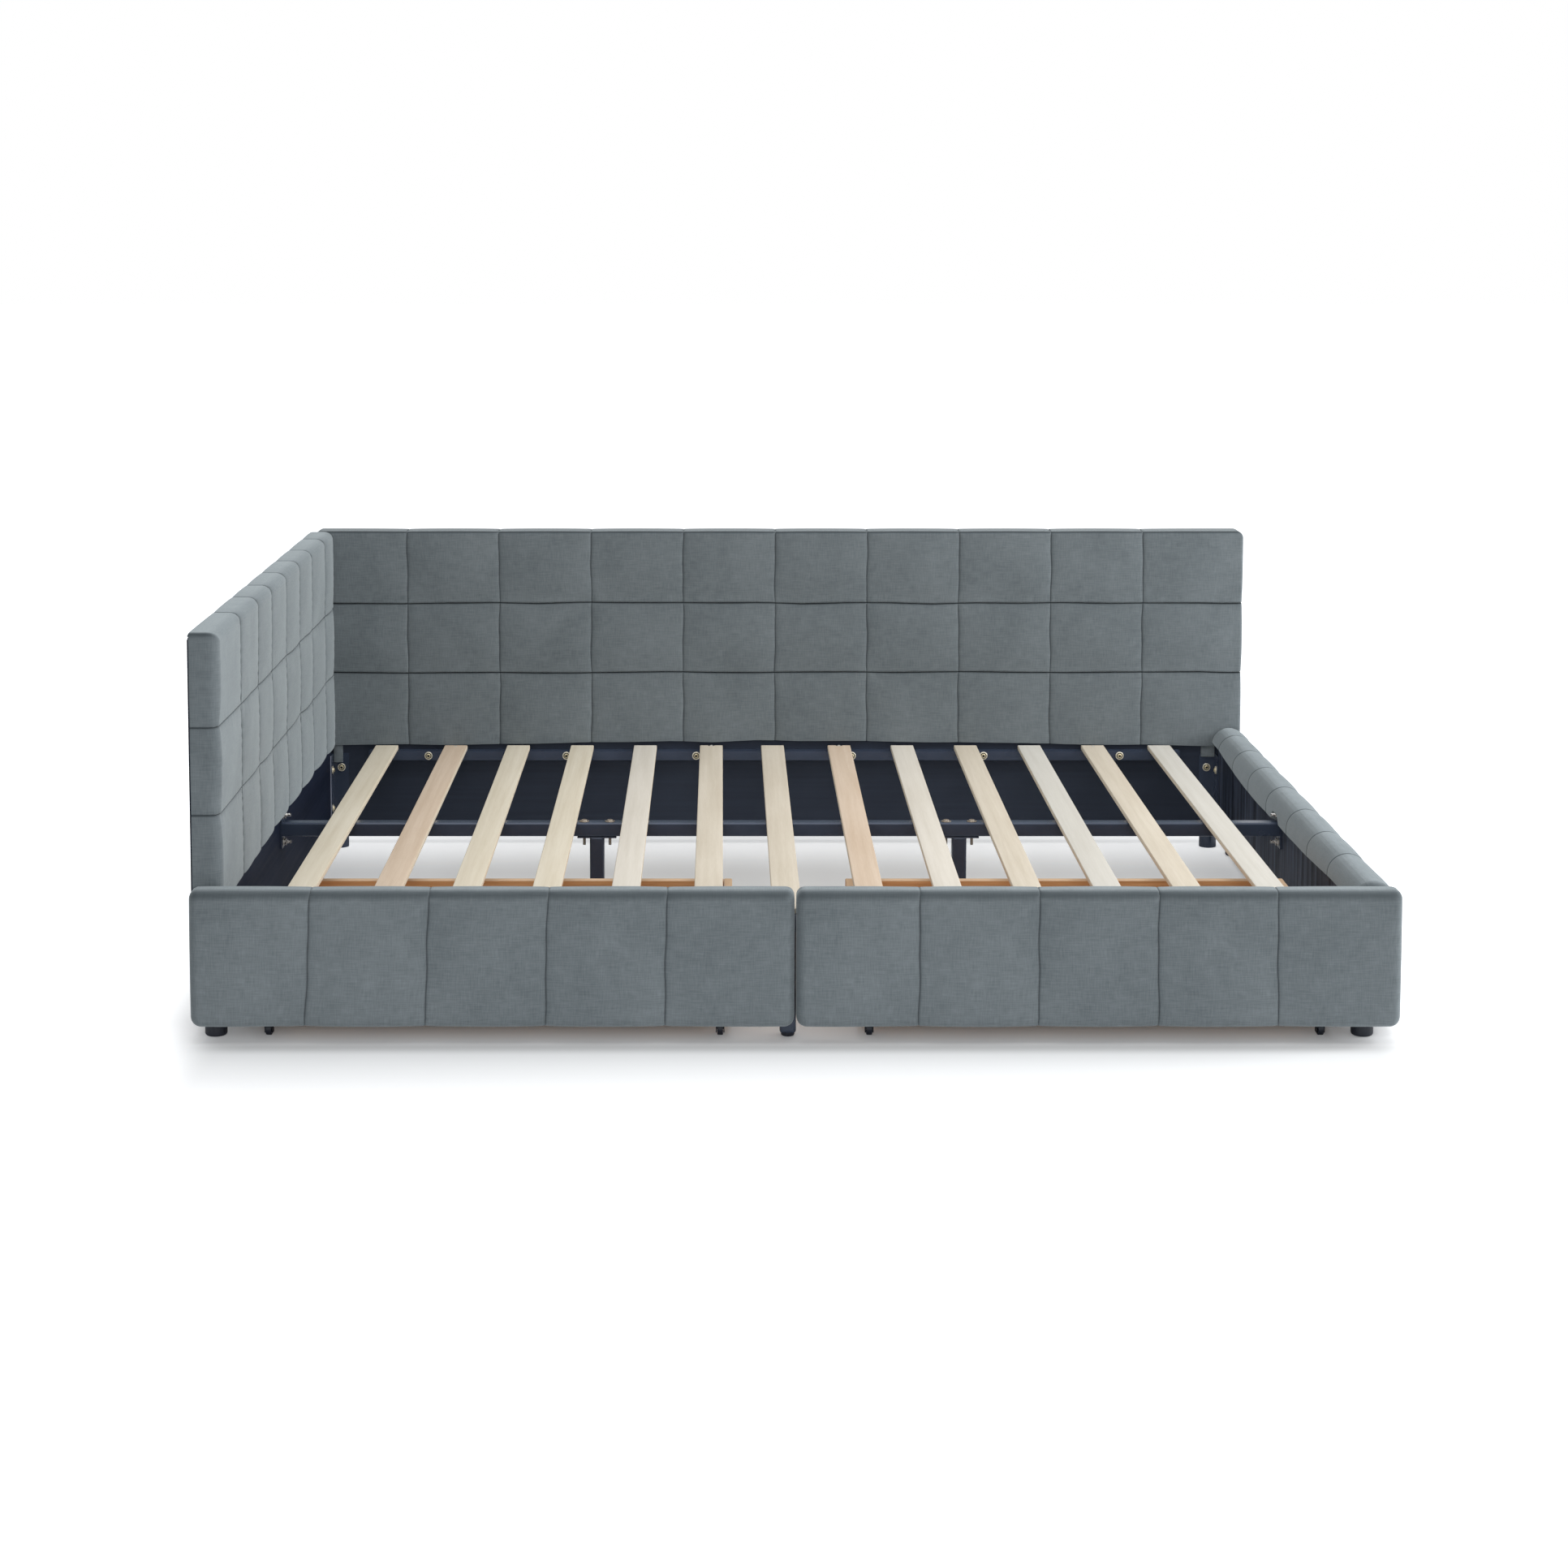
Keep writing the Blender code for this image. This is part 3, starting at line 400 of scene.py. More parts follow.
class ShaderTree:
    """The node tree of one material, with its Principled BSDF."""

    def __init__(self, name: str) -> None:
        """Makes an empty material with one Principled BSDF."""
        self.material = bpy.data.materials.new(name)
        self.material.use_nodes = True
        self.tree = self.material.node_tree
        self.shader = self.tree.nodes["Principled BSDF"]

    def node(
        self, kind: str, settings: dict | None = None, inputs: dict | None = None, output: int | str = 0
    ) -> Signal:
        """Adds a node.

        Args:
            kind: the node's type.
            settings: its own settings, set first.
            inputs: a value or a Signal for each socket, by name or number.
            output: which output to give back.

        Returns:
            The node's output.
        """
        made = self.tree.nodes.new(kind)
        for name, value in (settings or {}).items():
            setattr(made, name, value)
        for name, value in (inputs or {}).items():
            self.feed(made.inputs[name], value)
        return Signal(self, made.outputs[output])

    def feed(self, socket: bpy.types.NodeSocket, value: object) -> None:
        """Links a Signal to a socket, or sets the socket's own value, where a colour of three is sRGB."""
        if isinstance(value, Signal):
            self.tree.links.new(value.socket, socket)
        elif socket.type == "RGBA" and len(value) == 3:
            socket.default_value = linear(value)
        else:
            socket.default_value = value

    def set(self, **values: object) -> None:
        """Feeds the Principled BSDF's sockets, named with underscores for spaces."""
        for name, value in values.items():
            self.feed(self.shader.inputs[name.replace("_", " ")], value)

    def mixed(self, factor: Signal | float, first: object, second: object) -> Signal:
        """A colour between two colours."""
        return self.node("ShaderNodeMix", {"data_type": "RGBA"}, {0: factor, 6: first, 7: second}, 2)

    def clamped(self, first: Signal, second: Signal | float) -> Signal:
        """The product of two values, kept between 0 and 1."""
        settings = {"operation": "MULTIPLY", "use_clamp": True}
        return self.node("ShaderNodeMath", settings, {0: first, 1: second})

    def ramp(self, value: Signal, span: Span) -> Signal:
        """0 at the span's start and before it, 1 at its end and past it, and an S-curve between."""
        inputs = {"Value": value, "From Min": span[0], "From Max": span[1]}
        return self.node("ShaderNodeMapRange", {"interpolation_type": "SMOOTHSTEP"}, inputs)

    def vector(self, operation: str, *values: Signal | Place, output: str = "Vector") -> Signal:
        """One Vector Math node."""
        return self.node("ShaderNodeVectorMath", {"operation": operation}, dict(enumerate(values)), output)

    def part(self, place: Signal, axis: int) -> Signal:
        """A place's part along one axis."""
        return self.node("ShaderNodeSeparateXYZ", None, {0: place}, axis)

    def looks(self, axis: int) -> Signal:
        """How far the surface looks along one of the world's axes, from -1 to 1."""
        return self.part(self.node("ShaderNodeNewGeometry", output="Normal"), axis)

    def object_place(self) -> Signal:
        """The place in the object's own metres."""
        return self.node("ShaderNodeTexCoord", output="Object")

    def cloth_place(self) -> Signal:
        """The place in metres along the cloth."""
        return self.node("ShaderNodeUVMap", {"uv_map": CLOTH_MAP})

    def stretched(self, place: Signal, scale: Place, shift: Place = (0, 0, 0)) -> Signal:
        """The place, scaled along each axis and shifted."""
        return self.node("ShaderNodeMapping", None, {"Vector": place, "Scale": scale, "Location": shift})

    def noise(
        self, place: Signal, scale: float | Place, detail: float = 2.0, distortion: float = 0.0
    ) -> Signal:
        """Soft noise from 0 to 1, with scale waves to the metre, alike on all axes or one for each."""
        if isinstance(scale, tuple):
            place, scale = self.stretched(place, scale), 1.0
        inputs = {"Vector": place, "Scale": scale, "Detail": detail, "Distortion": distortion}
        return self.node("ShaderNodeTexNoise", None, inputs)

    def bump(self, height: Signal, distance: float, strength: float = 1.0) -> Signal:
        """A normal from a height between 0 and 1, distance metres deep."""
        inputs = {"Height": height, "Distance": distance, "Strength": strength}
        return self.node("ShaderNodeBump", None, inputs)


@dataclass(frozen=True)
class Finish:
    """A finish that makes its material once."""

    name: str

    def dress(self, tree: ShaderTree) -> None:
        """Builds the finish's nodes."""
        raise NotImplementedError

    def material(self) -> bpy.types.Material:
        """The finish's material, made when it is first asked for."""
        known = bpy.data.materials.get(f"finish_{self.name}")
        if known:
            return known
        tree = ShaderTree(f"finish_{self.name}")
        self.dress(tree)
        return tree.material


@dataclass(frozen=True)
class Velvet(Finish):
    """Short grey pile on a linen-like weave, with brushed patches, threads both ways and painted shade."""

    pile: Colour = (90, 98, 102)
    brushed: Colour = (127, 135, 139)
    shadow: Colour = (60, 67, 71)
    # seam: the painted shade colour for the seams' grooves, and for up-facing surfaces with top_shade
    seam: Colour = (38, 44, 48)
    glow: Colour = (222, 232, 236)
    sheen: float = 0.55
    # painted shade by facing: how far the velvet darkens where it tilts up, looks left, looks ahead or looks
    # up
    tilt_shade: float = 0.8
    left_shade: float = 0.5
    front_shade: float = 0.0
    top_shade: float = 0.0

    def dress(self, tree: ShaderTree) -> None:
        """Patches and threads feed the colour, and painted seam shade darkens it along the seams.

        Painted shade, mixed in by the way the surface faces, darkens the colour where a front-facing surface
        tilts up and where a surface looks left, and as much as the panel's own front_shade and top_shade say
        where it looks ahead or straight up.
        """
        place = tree.cloth_place()
        patches = tree.noise(place, (6, 4.8, 6), detail=3, distortion=0.8)
        mottle = tree.noise(place, (42, 54.6, 42), detail=3, distortion=0.5)
        threads = tree.noise(place, (520, 42, 1)) * 0.5 + tree.noise(place, (36, 500, 1)) * 0.5
        nap = tree.noise(place, 1300, detail=1)
        shade = (patches - 0.5) * 0.7 + (mottle - 0.5) * 0.45 + (threads - 0.5) * 1.35 + 0.5
        # painted seam shade: the seam colour darkens the cloth along the seams, standing in for their grooves'
        # shadow
        seam_shade = tree.node("ShaderNodeAttribute", {"attribute_name": SEAM_SHADE_MAP}, output="Fac")
        plain = tree.mixed(seam_shade, tree.mixed(shade, self.pile, self.brushed), self.seam)
        # painted shade: the shadow colour mixes in by the surface's world normal, for how the light falls on
        # it
        left, ahead, up = tree.looks(0) * -1.0, tree.looks(1) * -1.0, tree.looks(2)
        tilt = tree.clamped(ahead, up * 2.0) * self.tilt_shade
        facing_shade = tree.clamped(left, self.left_shade) + tree.clamped(ahead, self.front_shade) + tilt
        shaded_cloth = tree.mixed(facing_shade, plain, self.shadow)
        # top_shade mixes the seam colour in as painted shade where the surface looks straight up
        tree.set(
            Base_Color=tree.mixed(tree.clamped(up - 0.35, 1.6) * self.top_shade, shaded_cloth, self.seam),
            Roughness=0.92,
            Specular_IOR_Level=0.15,
            Sheen_Weight=self.sheen,
            Sheen_Roughness=0.42,
            Sheen_Tint=self.glow,
            Normal=tree.bump(nap * 0.4 + threads * 0.9, distance=0.0007, strength=0.4),
        )


@dataclass(frozen=True)
class PowderCoat(Finish):
    """Satin coat on steel, with the fine peel of sprayed powder."""

    colour: Colour = (58, 68, 86)
    worn: Colour = (73, 84, 104)
    roughness: float = 0.24

    def dress(self, tree: ShaderTree) -> None:
        """Slow noise shifts colour and gloss, and fine noise makes the peel."""
        place = tree.object_place()
        slow = tree.noise(place, 9, detail=4)
        tree.set(
            Base_Color=tree.mixed((slow - 0.42) * 1.6, self.colour, self.worn),
            Roughness=slow * 0.16 + (self.roughness - 0.08),
            Metallic=0.25,
            Specular_IOR_Level=0.6,
            Normal=tree.bump(tree.noise(place, 900, detail=1), distance=0.0002, strength=0.3),
        )


@dataclass(frozen=True)
class PaintedBoard(Finish):
    """Dark stained board, rolled in one direction."""

    colour: Colour = (39, 46, 60)
    streak: Colour = (56, 64, 79)
    gloss: float = 0.22

    def dress(self, tree: ShaderTree) -> None:
        """Long level streaks and a slow cloudiness."""
        place = tree.object_place()
        streaks = tree.noise(place, (3, 3, 130), detail=4)
        cloud = tree.noise(place, 4, detail=3)
        tree.set(
            Base_Color=tree.mixed(streaks * 0.7 + cloud * 0.6 - 0.35, self.colour, self.streak),
            Roughness=streaks * 0.2 + 0.45,
            Specular_IOR_Level=self.gloss,
            Normal=tree.bump(streaks, distance=0.0003, strength=0.4),
        )


@dataclass(frozen=True)
class GrainBoard(Finish):
    """Charcoal board with an upright wood grain."""

    dark: Colour = (23, 29, 41)
    light: Colour = (84, 93, 111)

    def dress(self, tree: ShaderTree) -> None:
        """Grain lines that run up the board and bend a little, with finer pores between them."""
        place = tree.object_place()
        bend = tree.noise(place, 3, detail=1)
        lines = tree.noise(place, (90, 62, 2.2), detail=5, distortion=0.5)
        pores = tree.noise(place, (380, 300, 14))
        tree.set(
            Base_Color=tree.mixed(lines * 2.6 + pores * 1.1 + bend * 0.3 - 1.68, self.dark, self.light),
            Roughness=pores * 0.2 + 0.45,
            Specular_IOR_Level=0.12,
            Normal=tree.bump(lines * 0.6 + pores * 0.4, distance=0.0004, strength=0.5),
        )


@dataclass(frozen=True)
class Birch(Finish):
    """Sanded birch ply slat: a pale face with a long grain, and the plies' edges on its sides."""

    pale: Colour = (209, 200, 184)
    grain: Colour = (190, 179, 160)
    pale_ply: Colour = (236, 228, 212)
    dark_ply: Colour = (196, 178, 150)
    shift: float = 0.0

    def dress(self, tree: ShaderTree) -> None:
        """Grain along the slat and flecks on the face; plies in layers where the surface stands upright."""
        place = tree.object_place()
        moved = tree.stretched(place, (1, 1, 1), (self.shift, self.shift * 1.7, 0))
        lines = tree.noise(moved, (85, 2.2, 85), detail=4, distortion=0.35)
        flecks = tree.noise(moved, (420, 24, 420))
        cloud = tree.noise(moved, (9, 3, 9))
        layers = {"Vector": place, "Scale": 210, "Distortion": 0.4}
        plies = tree.node("ShaderNodeTexWave", {"bands_direction": "Z"}, layers)
        face = tree.mixed(lines * 1.5 + flecks * 0.35 + cloud * 0.8 - 0.85, self.pale, self.grain)
        tree.set(
            Base_Color=tree.mixed(tree.looks(2) > 0.6, tree.mixed(plies, self.pale_ply, self.dark_ply), face),
            Roughness=flecks * 0.2 + 0.5,
            Normal=tree.bump(lines * 0.5 + flecks * 0.5, distance=0.0003, strength=0.35),
        )


@dataclass(frozen=True)
class DrawerBoard(Finish):
    """Warm brown board with a level grain, and a paler cut top edge."""

    dark: Colour = (189, 141, 97)
    light: Colour = (226, 180, 132)
    edge: Colour = (210, 180, 148)
    pale_edge: bool = True
    grain: Place = (5, 5, 150)
    pore: Place = (40, 40, 900)

    def dress(self, tree: ShaderTree) -> None:
        """Grain lines that run level round the box; the surface that looks up is the pale edge."""
        place = tree.object_place()
        lines = tree.noise(place, self.grain, detail=5, distortion=0.6)
        pores = tree.noise(place, self.pore)
        face = tree.mixed(lines * 1.5 + pores * 0.5 - 0.5, self.dark, self.light)
        tree.set(
            Base_Color=tree.mixed(tree.looks(2) > 0.5, face, self.edge) if self.pale_edge else face,
            Roughness=pores * 0.15 + 0.42,
            Specular_IOR_Level=0.25,
            Normal=tree.bump(pores * 0.5 + lines * 0.5, distance=0.0002, strength=0.3),
        )


@dataclass(frozen=True)
class Plated(Finish):
    """Plated or bare metal of a fastener."""

    colour: Colour = (222, 210, 176)
    dull: Colour = (146, 132, 100)
    roughness: float = 0.3
    contrast: float = 1.8
    metallic: float = 0.5

    def dress(self, tree: ShaderTree) -> None:
        """Fine noise dulls the plating in places."""
        dulling = tree.noise(tree.object_place(), 420, detail=3)
        tree.set(
            Base_Color=tree.mixed((dulling - 0.4) * self.contrast, self.colour, self.dull),
            Roughness=dulling * 0.25 + (self.roughness - 0.1),
            Metallic=self.metallic,
        )


@dataclass(frozen=True)
class Moulded(Finish):
    """Moulded plastic with a faint spark texture."""

    colour: Colour = (27, 33, 46)
    dark: Colour = (23, 28, 39)
    roughness: float = 0.46

    def dress(self, tree: ShaderTree) -> None:
        """Fine grain in the bump and a slow change of gloss."""
        place = tree.object_place()
        slow = tree.noise(place, 40)
        tree.set(
            Base_Color=tree.mixed(slow, self.colour, self.dark),
            Roughness=slow * 0.18 + (self.roughness - 0.09),
            Normal=tree.bump(tree.noise(place, 1100, detail=1), distance=0.0002, strength=0.3),
        )


@dataclass(frozen=True)
class SpunCloth(Finish):
    """Thin black nonwoven cloth, bonded in rows of small dots."""

    colour: Colour = (26, 27, 30)
    fibre: Colour = (48, 50, 54)

    def dress(self, tree: ShaderTree) -> None:
        """Bonding dots on a square pattern 2.4 mm apart, with fibres between them."""
        place = tree.cloth_place()
        pattern = {"Vector": place, "Scale": 420, "Randomness": 0.0}
        dot = tree.node("ShaderNodeTexVoronoi", {"feature": "F1", "distance": "EUCLIDEAN"}, pattern) > 0.28
        fibres = tree.noise(place, 300, detail=4, distortion=1.2)
        tree.set(
            Base_Color=tree.mixed(fibres * 0.8 * dot, self.colour, self.fibre),
            Roughness=0.88,
            Normal=tree.bump(dot * 0.6 + fibres * 0.4, distance=0.0003, strength=0.5),
        )


VELVET = Velvet("grey_velvet")
# copies of the velvet with more painted shade: the back on its face and top, the side on its front
BACK_VELVET = Velvet("grey_velvet_back", tilt_shade=0.5, front_shade=0.12, top_shade=1.0)
SIDE_VELVET = Velvet("grey_velvet_side", front_shade=0.2)
STEEL = PowderCoat("navy_steel")
NAVY = PaintedBoard("navy_board")
# a darker copy of the navy board finish for the side board: painted shade for the tone it has in shadow
SHADED_NAVY = PaintedBoard("shaded_navy_board", colour=(24, 30, 45), streak=(37, 44, 61), gloss=0.04)
CHARCOAL = GrainBoard("charcoal_board")
BROWN = DrawerBoard("drawer_board")
BROWN_PANEL = DrawerBoard("drawer_bottom", pale_edge=False, grain=(5, 60, 5), pore=(40, 900, 40))
BLACK = Moulded("black_plastic")
CLOTH = SpunCloth("dust_cloth")
BRASS = Plated("brass_bolt")
CREAM = Plated("cream_washer", colour=(236, 230, 212), dull=(196, 188, 166), roughness=0.42)
BRONZE = Plated("bronze_bolt", colour=(150, 140, 128), dull=(88, 79, 70), roughness=0.34)
# painted highlight and shade: near-white and dark spots by noise stand in for the nuts' glints
BRIGHT_NUT = Plated(
    "bright_nut", colour=(250, 250, 248), dull=(84, 78, 70), roughness=0.2, contrast=5.0, metallic=0.4
)
# a pale coat for the strip that paints the highlight on the left flange's edge
FLANGE_HIGHLIGHT = PowderCoat("flange_highlight", colour=(150, 157, 176), worn=(184, 190, 206), roughness=0.5)
ZINC = Plated("zinc_screw", colour=(206, 204, 198), dull=(150, 146, 138), roughness=0.3)


class Tone(Enum):
    """The slats' shades of birch."""

    CREAM = Birch("birch_cream")
    PALE = Birch("birch_pale", pale=(215, 209, 198), grain=(198, 191, 178), shift=0.37)
    WHITE = Birch("birch_white", pale=(205, 202, 194), grain=(190, 186, 176), shift=0.62)
    PINK = Birch("birch_pink", pale=(210, 192, 172), grain=(190, 168, 144), shift=0.81)
    STRAW = Birch("birch_straw", pale=(217, 209, 191), grain=(199, 188, 166), shift=1.3)


# upholstery


def bell(distance: Array, width: float) -> Array:
    """1 on a line and falling to 0 beside it: e to the power -(distance / width) squared."""
    return np.exp(-((distance / width) ** 2))


def waves(first: Array, second: Array, table: tuple[Wave, ...]) -> Array:
    """Sine waves over two directions, summed.

    Formula: each row of the table adds its height × sin(rate × first + other rate × second + phase).

    Args:
        first: places along the first direction.
        second: places along the second one.
        table: height, rate, other rate and phase of each wave.

    Returns:
        The sum at each place.
    """
    return sum(height * np.sin(first * rate + second * other + phase) for height, rate, other, phase in table)


@dataclass
class Seams:
    """The seams along one direction of a pad.

    Args:
        places: where the cells begin and end, in rising order. The outer ones may lie past the pad's edges,
            where the cloth goes on over the border without a seam.
        low: where the pad begins.
        high: where the pad ends.
    """

    places: Array
    low: float
    high: float

    def distance(self, place: Array) -> tuple[Array, Array, Array]:
        """How far a place is from its cell's nearer seam.

        Args:
            place: places along the pad.

        Returns:
            The distance, half the cell's width, and the cell's number.
        """
        cell = np.clip(np.searchsorted(self.places, place, side="right") - 1, 0, len(self.places) - 2)
        left, right = self.places[cell], self.places[cell + 1]
        return np.minimum(place - left, right - place).clip(0), (right - left) / 2, cell

    def lines(self, step: float, border: float, reach: float) -> Array:
        """Dividing lines: close together beside each seam and at each end, and a step apart elsewhere.

        Args:
            step: how far the plain lines are apart.
            border: how far the rounding of the edges reaches.
            reach: how far the rounding of the corners reaches.

        Returns:
            The places in rising order.
        """
        inner = self.places[(self.places > self.low + 1e-4) & (self.places < self.high - 1e-4)]
        even = np.linspace(self.low, self.high, int((self.high - self.low) / step))
        if len(inner):
            even = even[np.abs(even[:, None] - inner[None]).min(axis=1) > SEAM_CLEARANCE]
        beside = (inner[:, None] + np.concatenate([-SEAM_STEPS[1:], SEAM_STEPS])[None]).ravel()
        rounding = np.append(border * BORDER_SHARES, np.linspace(border, reach, 5))
        ends = np.concatenate([self.low + rounding, self.high - rounding])
        clear = reach + EDGE_CLEARANCE
        away = (even > self.low + clear) & (even < self.high - clear)
        lines = np.unique(np.round(np.concatenate([even[away], beside, ends]), 6))
        return lines[(lines >= self.low - 1e-9) & (lines <= self.high + 1e-9)]


@dataclass
class StitchedPad:
    """A stitched velvet pad in its panel's own axes: X along it, Z up, and its face towards -Y at 0.

    Lengths are in metres. The columns and rows are the places where the stitched cells begin and end, and the
    board's low and high are its corners, all measured from the pad's middle along X and from its bottom.
    """

    name: str
    node: str
    length: float
    height: float
    depth: float
    board_low: Span
    board_high: Span
    columns: Array
    rows: Array
    wrap: Wrap
    facing: Facing
    origin: Place
    body: str = "frame"
    border: float = 0.011
    corner_top: float = 0.014
    corner_bottom: float = 0.014
    open_far_end: bool = False
    far_reach: float = 0.0
    side_reach: float = 0.0
    lip_height: float = 0.0
    lip_depth: float = 0.0
    seam_level: float = 0.006
    swell: float = 0.008
    scallop: float = 0.0014
    crown_share: float = 0.68
    softness: float = 0.003
    overhang: float = 0.0018
    stitch_depth: float = 0.001
    row_stitch_depth: float = 0.0034
    stitch_width: float = 0.0009
    step: float = 0.0085
    through_step: float = 0.009
    crown_power: float = 2.4
    lean: Array | None = None
    hem_bow: float = 0.0
    bow_reach: float = 0.12
    fade: float = 0.05
    sway: tuple[Wave, ...] = ((0.0008, 31, 4, 0), (0.0006, 67, -9, 0))
    slack: tuple[Wave, ...] = ((0.00045, 23, 17, 0), (0.0004, 41, -29, 1.3))
    lip_curve: Array | None = None
    lip_reach: float = 0.03
    rear_radius: float = 0.0
    # how strong and how wide the painted seam shade is, across and up
    seam_shade: Span = (0.5, 0.9)
    seam_shade_width: Span = (0.0009, 0.0016)
    wander: float = 0.0006
    variety: Span = (0.84, 1.0)
    pucker: float = 0.0004
    pucker_reach: float = 0.016
    column_pulls: Place = (330, 47, 1.9)
    row_pulls: Place = (310, 43, 2.3)
    shelf_reach: float = 0.007
    lining_gap: float = 0.0003
    lining_reach: float = 0.03
    hem_hold: float = 0.01
    corner_power: float = 2.0
    row_tilt: float = 0.0
    velvet: Velvet = VELVET
    seed: int = 3

    def __post_init__(self) -> None:
        """Draws the skin in by the scallop, which the cells' swell gives back at their middles."""
        self.half = self.length / 2 - self.scallop + self.side_reach
        self.far = self.length / 2 + self.far_reach if self.open_far_end else self.half
        self.top = self.height - self.scallop
        self.bottom = self.scallop if self.wrap is Wrap.ROUND else 0.0
        self.rear = self.depth + self.lip_depth
        self.column_seams = Seams(self.columns, -self.half, self.far)
        self.row_seams = Seams(self.rows, self.bottom, self.top)

    def flat_skin(self) -> tuple[Skin, Array]:
        """The box sides that the velvet covers, before they are rounded, and their cloth map."""
        reach = max(self.border, self.corner_top, self.corner_bottom)
        across = self.column_seams.lines(self.step, self.border, reach)
        upright = self.row_seams.lines(self.step, self.border, reach)
        if self.lip_height:
            upright = np.unique(np.append(upright, round(self.lip_height, 6)))
        layers = np.arange(0.0, self.rear, self.through_step)
        through = edge_lines(-self.seam_level, self.rear, self.border, layers)
        through = np.unique(np.append(through, round(self.depth, 6)))
        lines = (across, through, upright)
        sides = [box_side(lines, 1, False), box_side(lines, 2, True)]
        ends = [False] if self.open_far_end else [False, True]
        behind = through >= self.depth - 1e-9
        before = through <= self.depth + 1e-9
        above = upright >= self.lip_height - 1e-9
        for end in ends:
            sides.append(box_side((across, through[before], upright), 0, end))
            if self.lip_height:
                sides.append(box_side((across, through[behind], upright[above]), 0, end))
        if self.lip_height:
            sides.append(box_side((across, through, upright[above]), 1, True))
        if self.wrap is Wrap.ROUND:
            sides.append(box_side(lines, 2, False))
        return welded(sides, [self.cloth_map(points) for points, _ in sides])

    def cloth_map(self, points: Array) -> Array:
        """Metres along the cloth at one box side's points, as the velvet goes on round the edges."""
        x, y, z = points.T
        back = y + self.seam_level
        flat_x = np.where(np.ptp(x) > 0, x, x + np.sign(x) * back)
        over = z + back if z.min() > self.bottom else z - back
        flat_z = z if np.ptp(x) == 0 or np.ptp(y) == 0 and y[0] < 0 else over
        if np.ptp(y) == 0 and y[0] > 0:
            flat_z = 2 * self.top + self.rear + self.seam_level - z
        return np.stack([flat_x, flat_z], axis=1)

    def fullness(self, place: Array, seams: Seams) -> tuple[Array, Array, Array]:
        """How full a stitched cell is across one direction.

        Formula: crown share × (1 - (1 - d / w) to the crown power) + the rest × (1 - e to the power -d /
        softness), with d the distance from the nearer seam and w half the cell's width.

        Args:
            place: places along that direction.
            seams: the direction's seams.

        Returns:
            The fullness from 0 to 1, the distance from the seam, and the cell's number.
        """
        distance, half, cell = seams.distance(place)
        crown = 1 - (1 - np.clip(distance / half, 0, 1)) ** self.crown_power
        shoulder = 1 - np.exp(-distance / self.softness)
        return self.crown_share * crown + (1 - self.crown_share) * shoulder, distance, cell

    def warp(self, flat: Array) -> Array:
        """Moves the seams a little off their straight lines, as sewn cloth has them.

        Formula: each row seam's height wanders between its crossings by straight lines through small random
        steps, the column seams sway by sine waves and lean by their own amounts, and the hem bows; all of it
        fades out at the borders.
        """
        x, _, z = flat.T
        random = np.random.default_rng(self.seed)
        knots = np.linspace(-self.half, self.half, 2 * len(self.columns))
        steps = random.normal(0, self.wander, (len(self.rows), len(knots)))
        levels = np.clip(self.rows, self.bottom, self.top)
        near = np.clip(np.searchsorted(levels, z) - 1, 0, len(levels) - 2)
        share = np.clip((z - levels[near]) / np.maximum(levels[near + 1] - levels[near], 1e-6), 0, 1)
        wander = np.stack([np.interp(x, knots, row) for row in steps])
        index = np.arange(len(x))
        rise = wander[near, index] * (1 - share) + wander[near + 1, index] * share
        fade_x = np.clip((self.half - np.abs(x)) / self.fade, 0, 1)
        fade_top = np.clip((self.top - z) / self.fade, 0, 1)
        fade_low = np.clip((z - self.bottom) / self.fade, 0, 1) if self.wrap is Wrap.ROUND else 1.0
        bow = self.hem_bow * np.cos(2 * np.pi * x / self.length) * np.clip(1 - z / self.bow_reach, 0, 1)
        bow = bow - self.row_tilt * (x / self.half) * (z / self.height)
        sway = waves(z, x, self.sway)
        if self.lean is not None:
            slope = np.interp(x, np.linspace(-self.half, self.half, len(self.lean)), self.lean)
            sway = sway + slope * (z / self.height - 0.5)
        moved = np.zeros_like(flat)
        moved[:, 0] = sway * fade_x
        moved[:, 2] = rise * fade_x * fade_top * fade_low + bow * fade_top
        return moved

    def sag(self, flat: Array) -> Array:
        """How far the lip's edge hangs down at each point: straight lines between known places."""
        if self.lip_curve is None:
            return np.zeros(len(flat))
        hang = np.interp(flat[:, 0], *self.lip_curve)
        on_lip = (flat[:, 1] > self.depth - 1e-6) & (flat[:, 2] > self.lip_height - 1e-6)
        return hang * on_lip * np.clip(1 - (flat[:, 2] - self.lip_height) / self.lip_reach, 0, 1)

    def pulls(self, off: Array, along: Array, cell: Array, rates: Place) -> Array:
        """Puckers along a seam, drawn in by its stitches.

        Formula: e to the power -off / reach × sin(rate × along + 2.2 × sin(slow rate × along + turn × cell)).

        Args:
            off: the distance from the seam.
            along: places along the seam.
            cell: the number of the cell across the seam.
            rates: the rate, the slow rate and the turn.

        Returns:
            The puckers' height, from -1 to 1.
        """
        rate, slow, turn = rates
        swing = 2.2 * np.sin(along * slow + cell * turn)
        return np.exp(-off / self.pucker_reach) * np.sin(along * rate + swing)

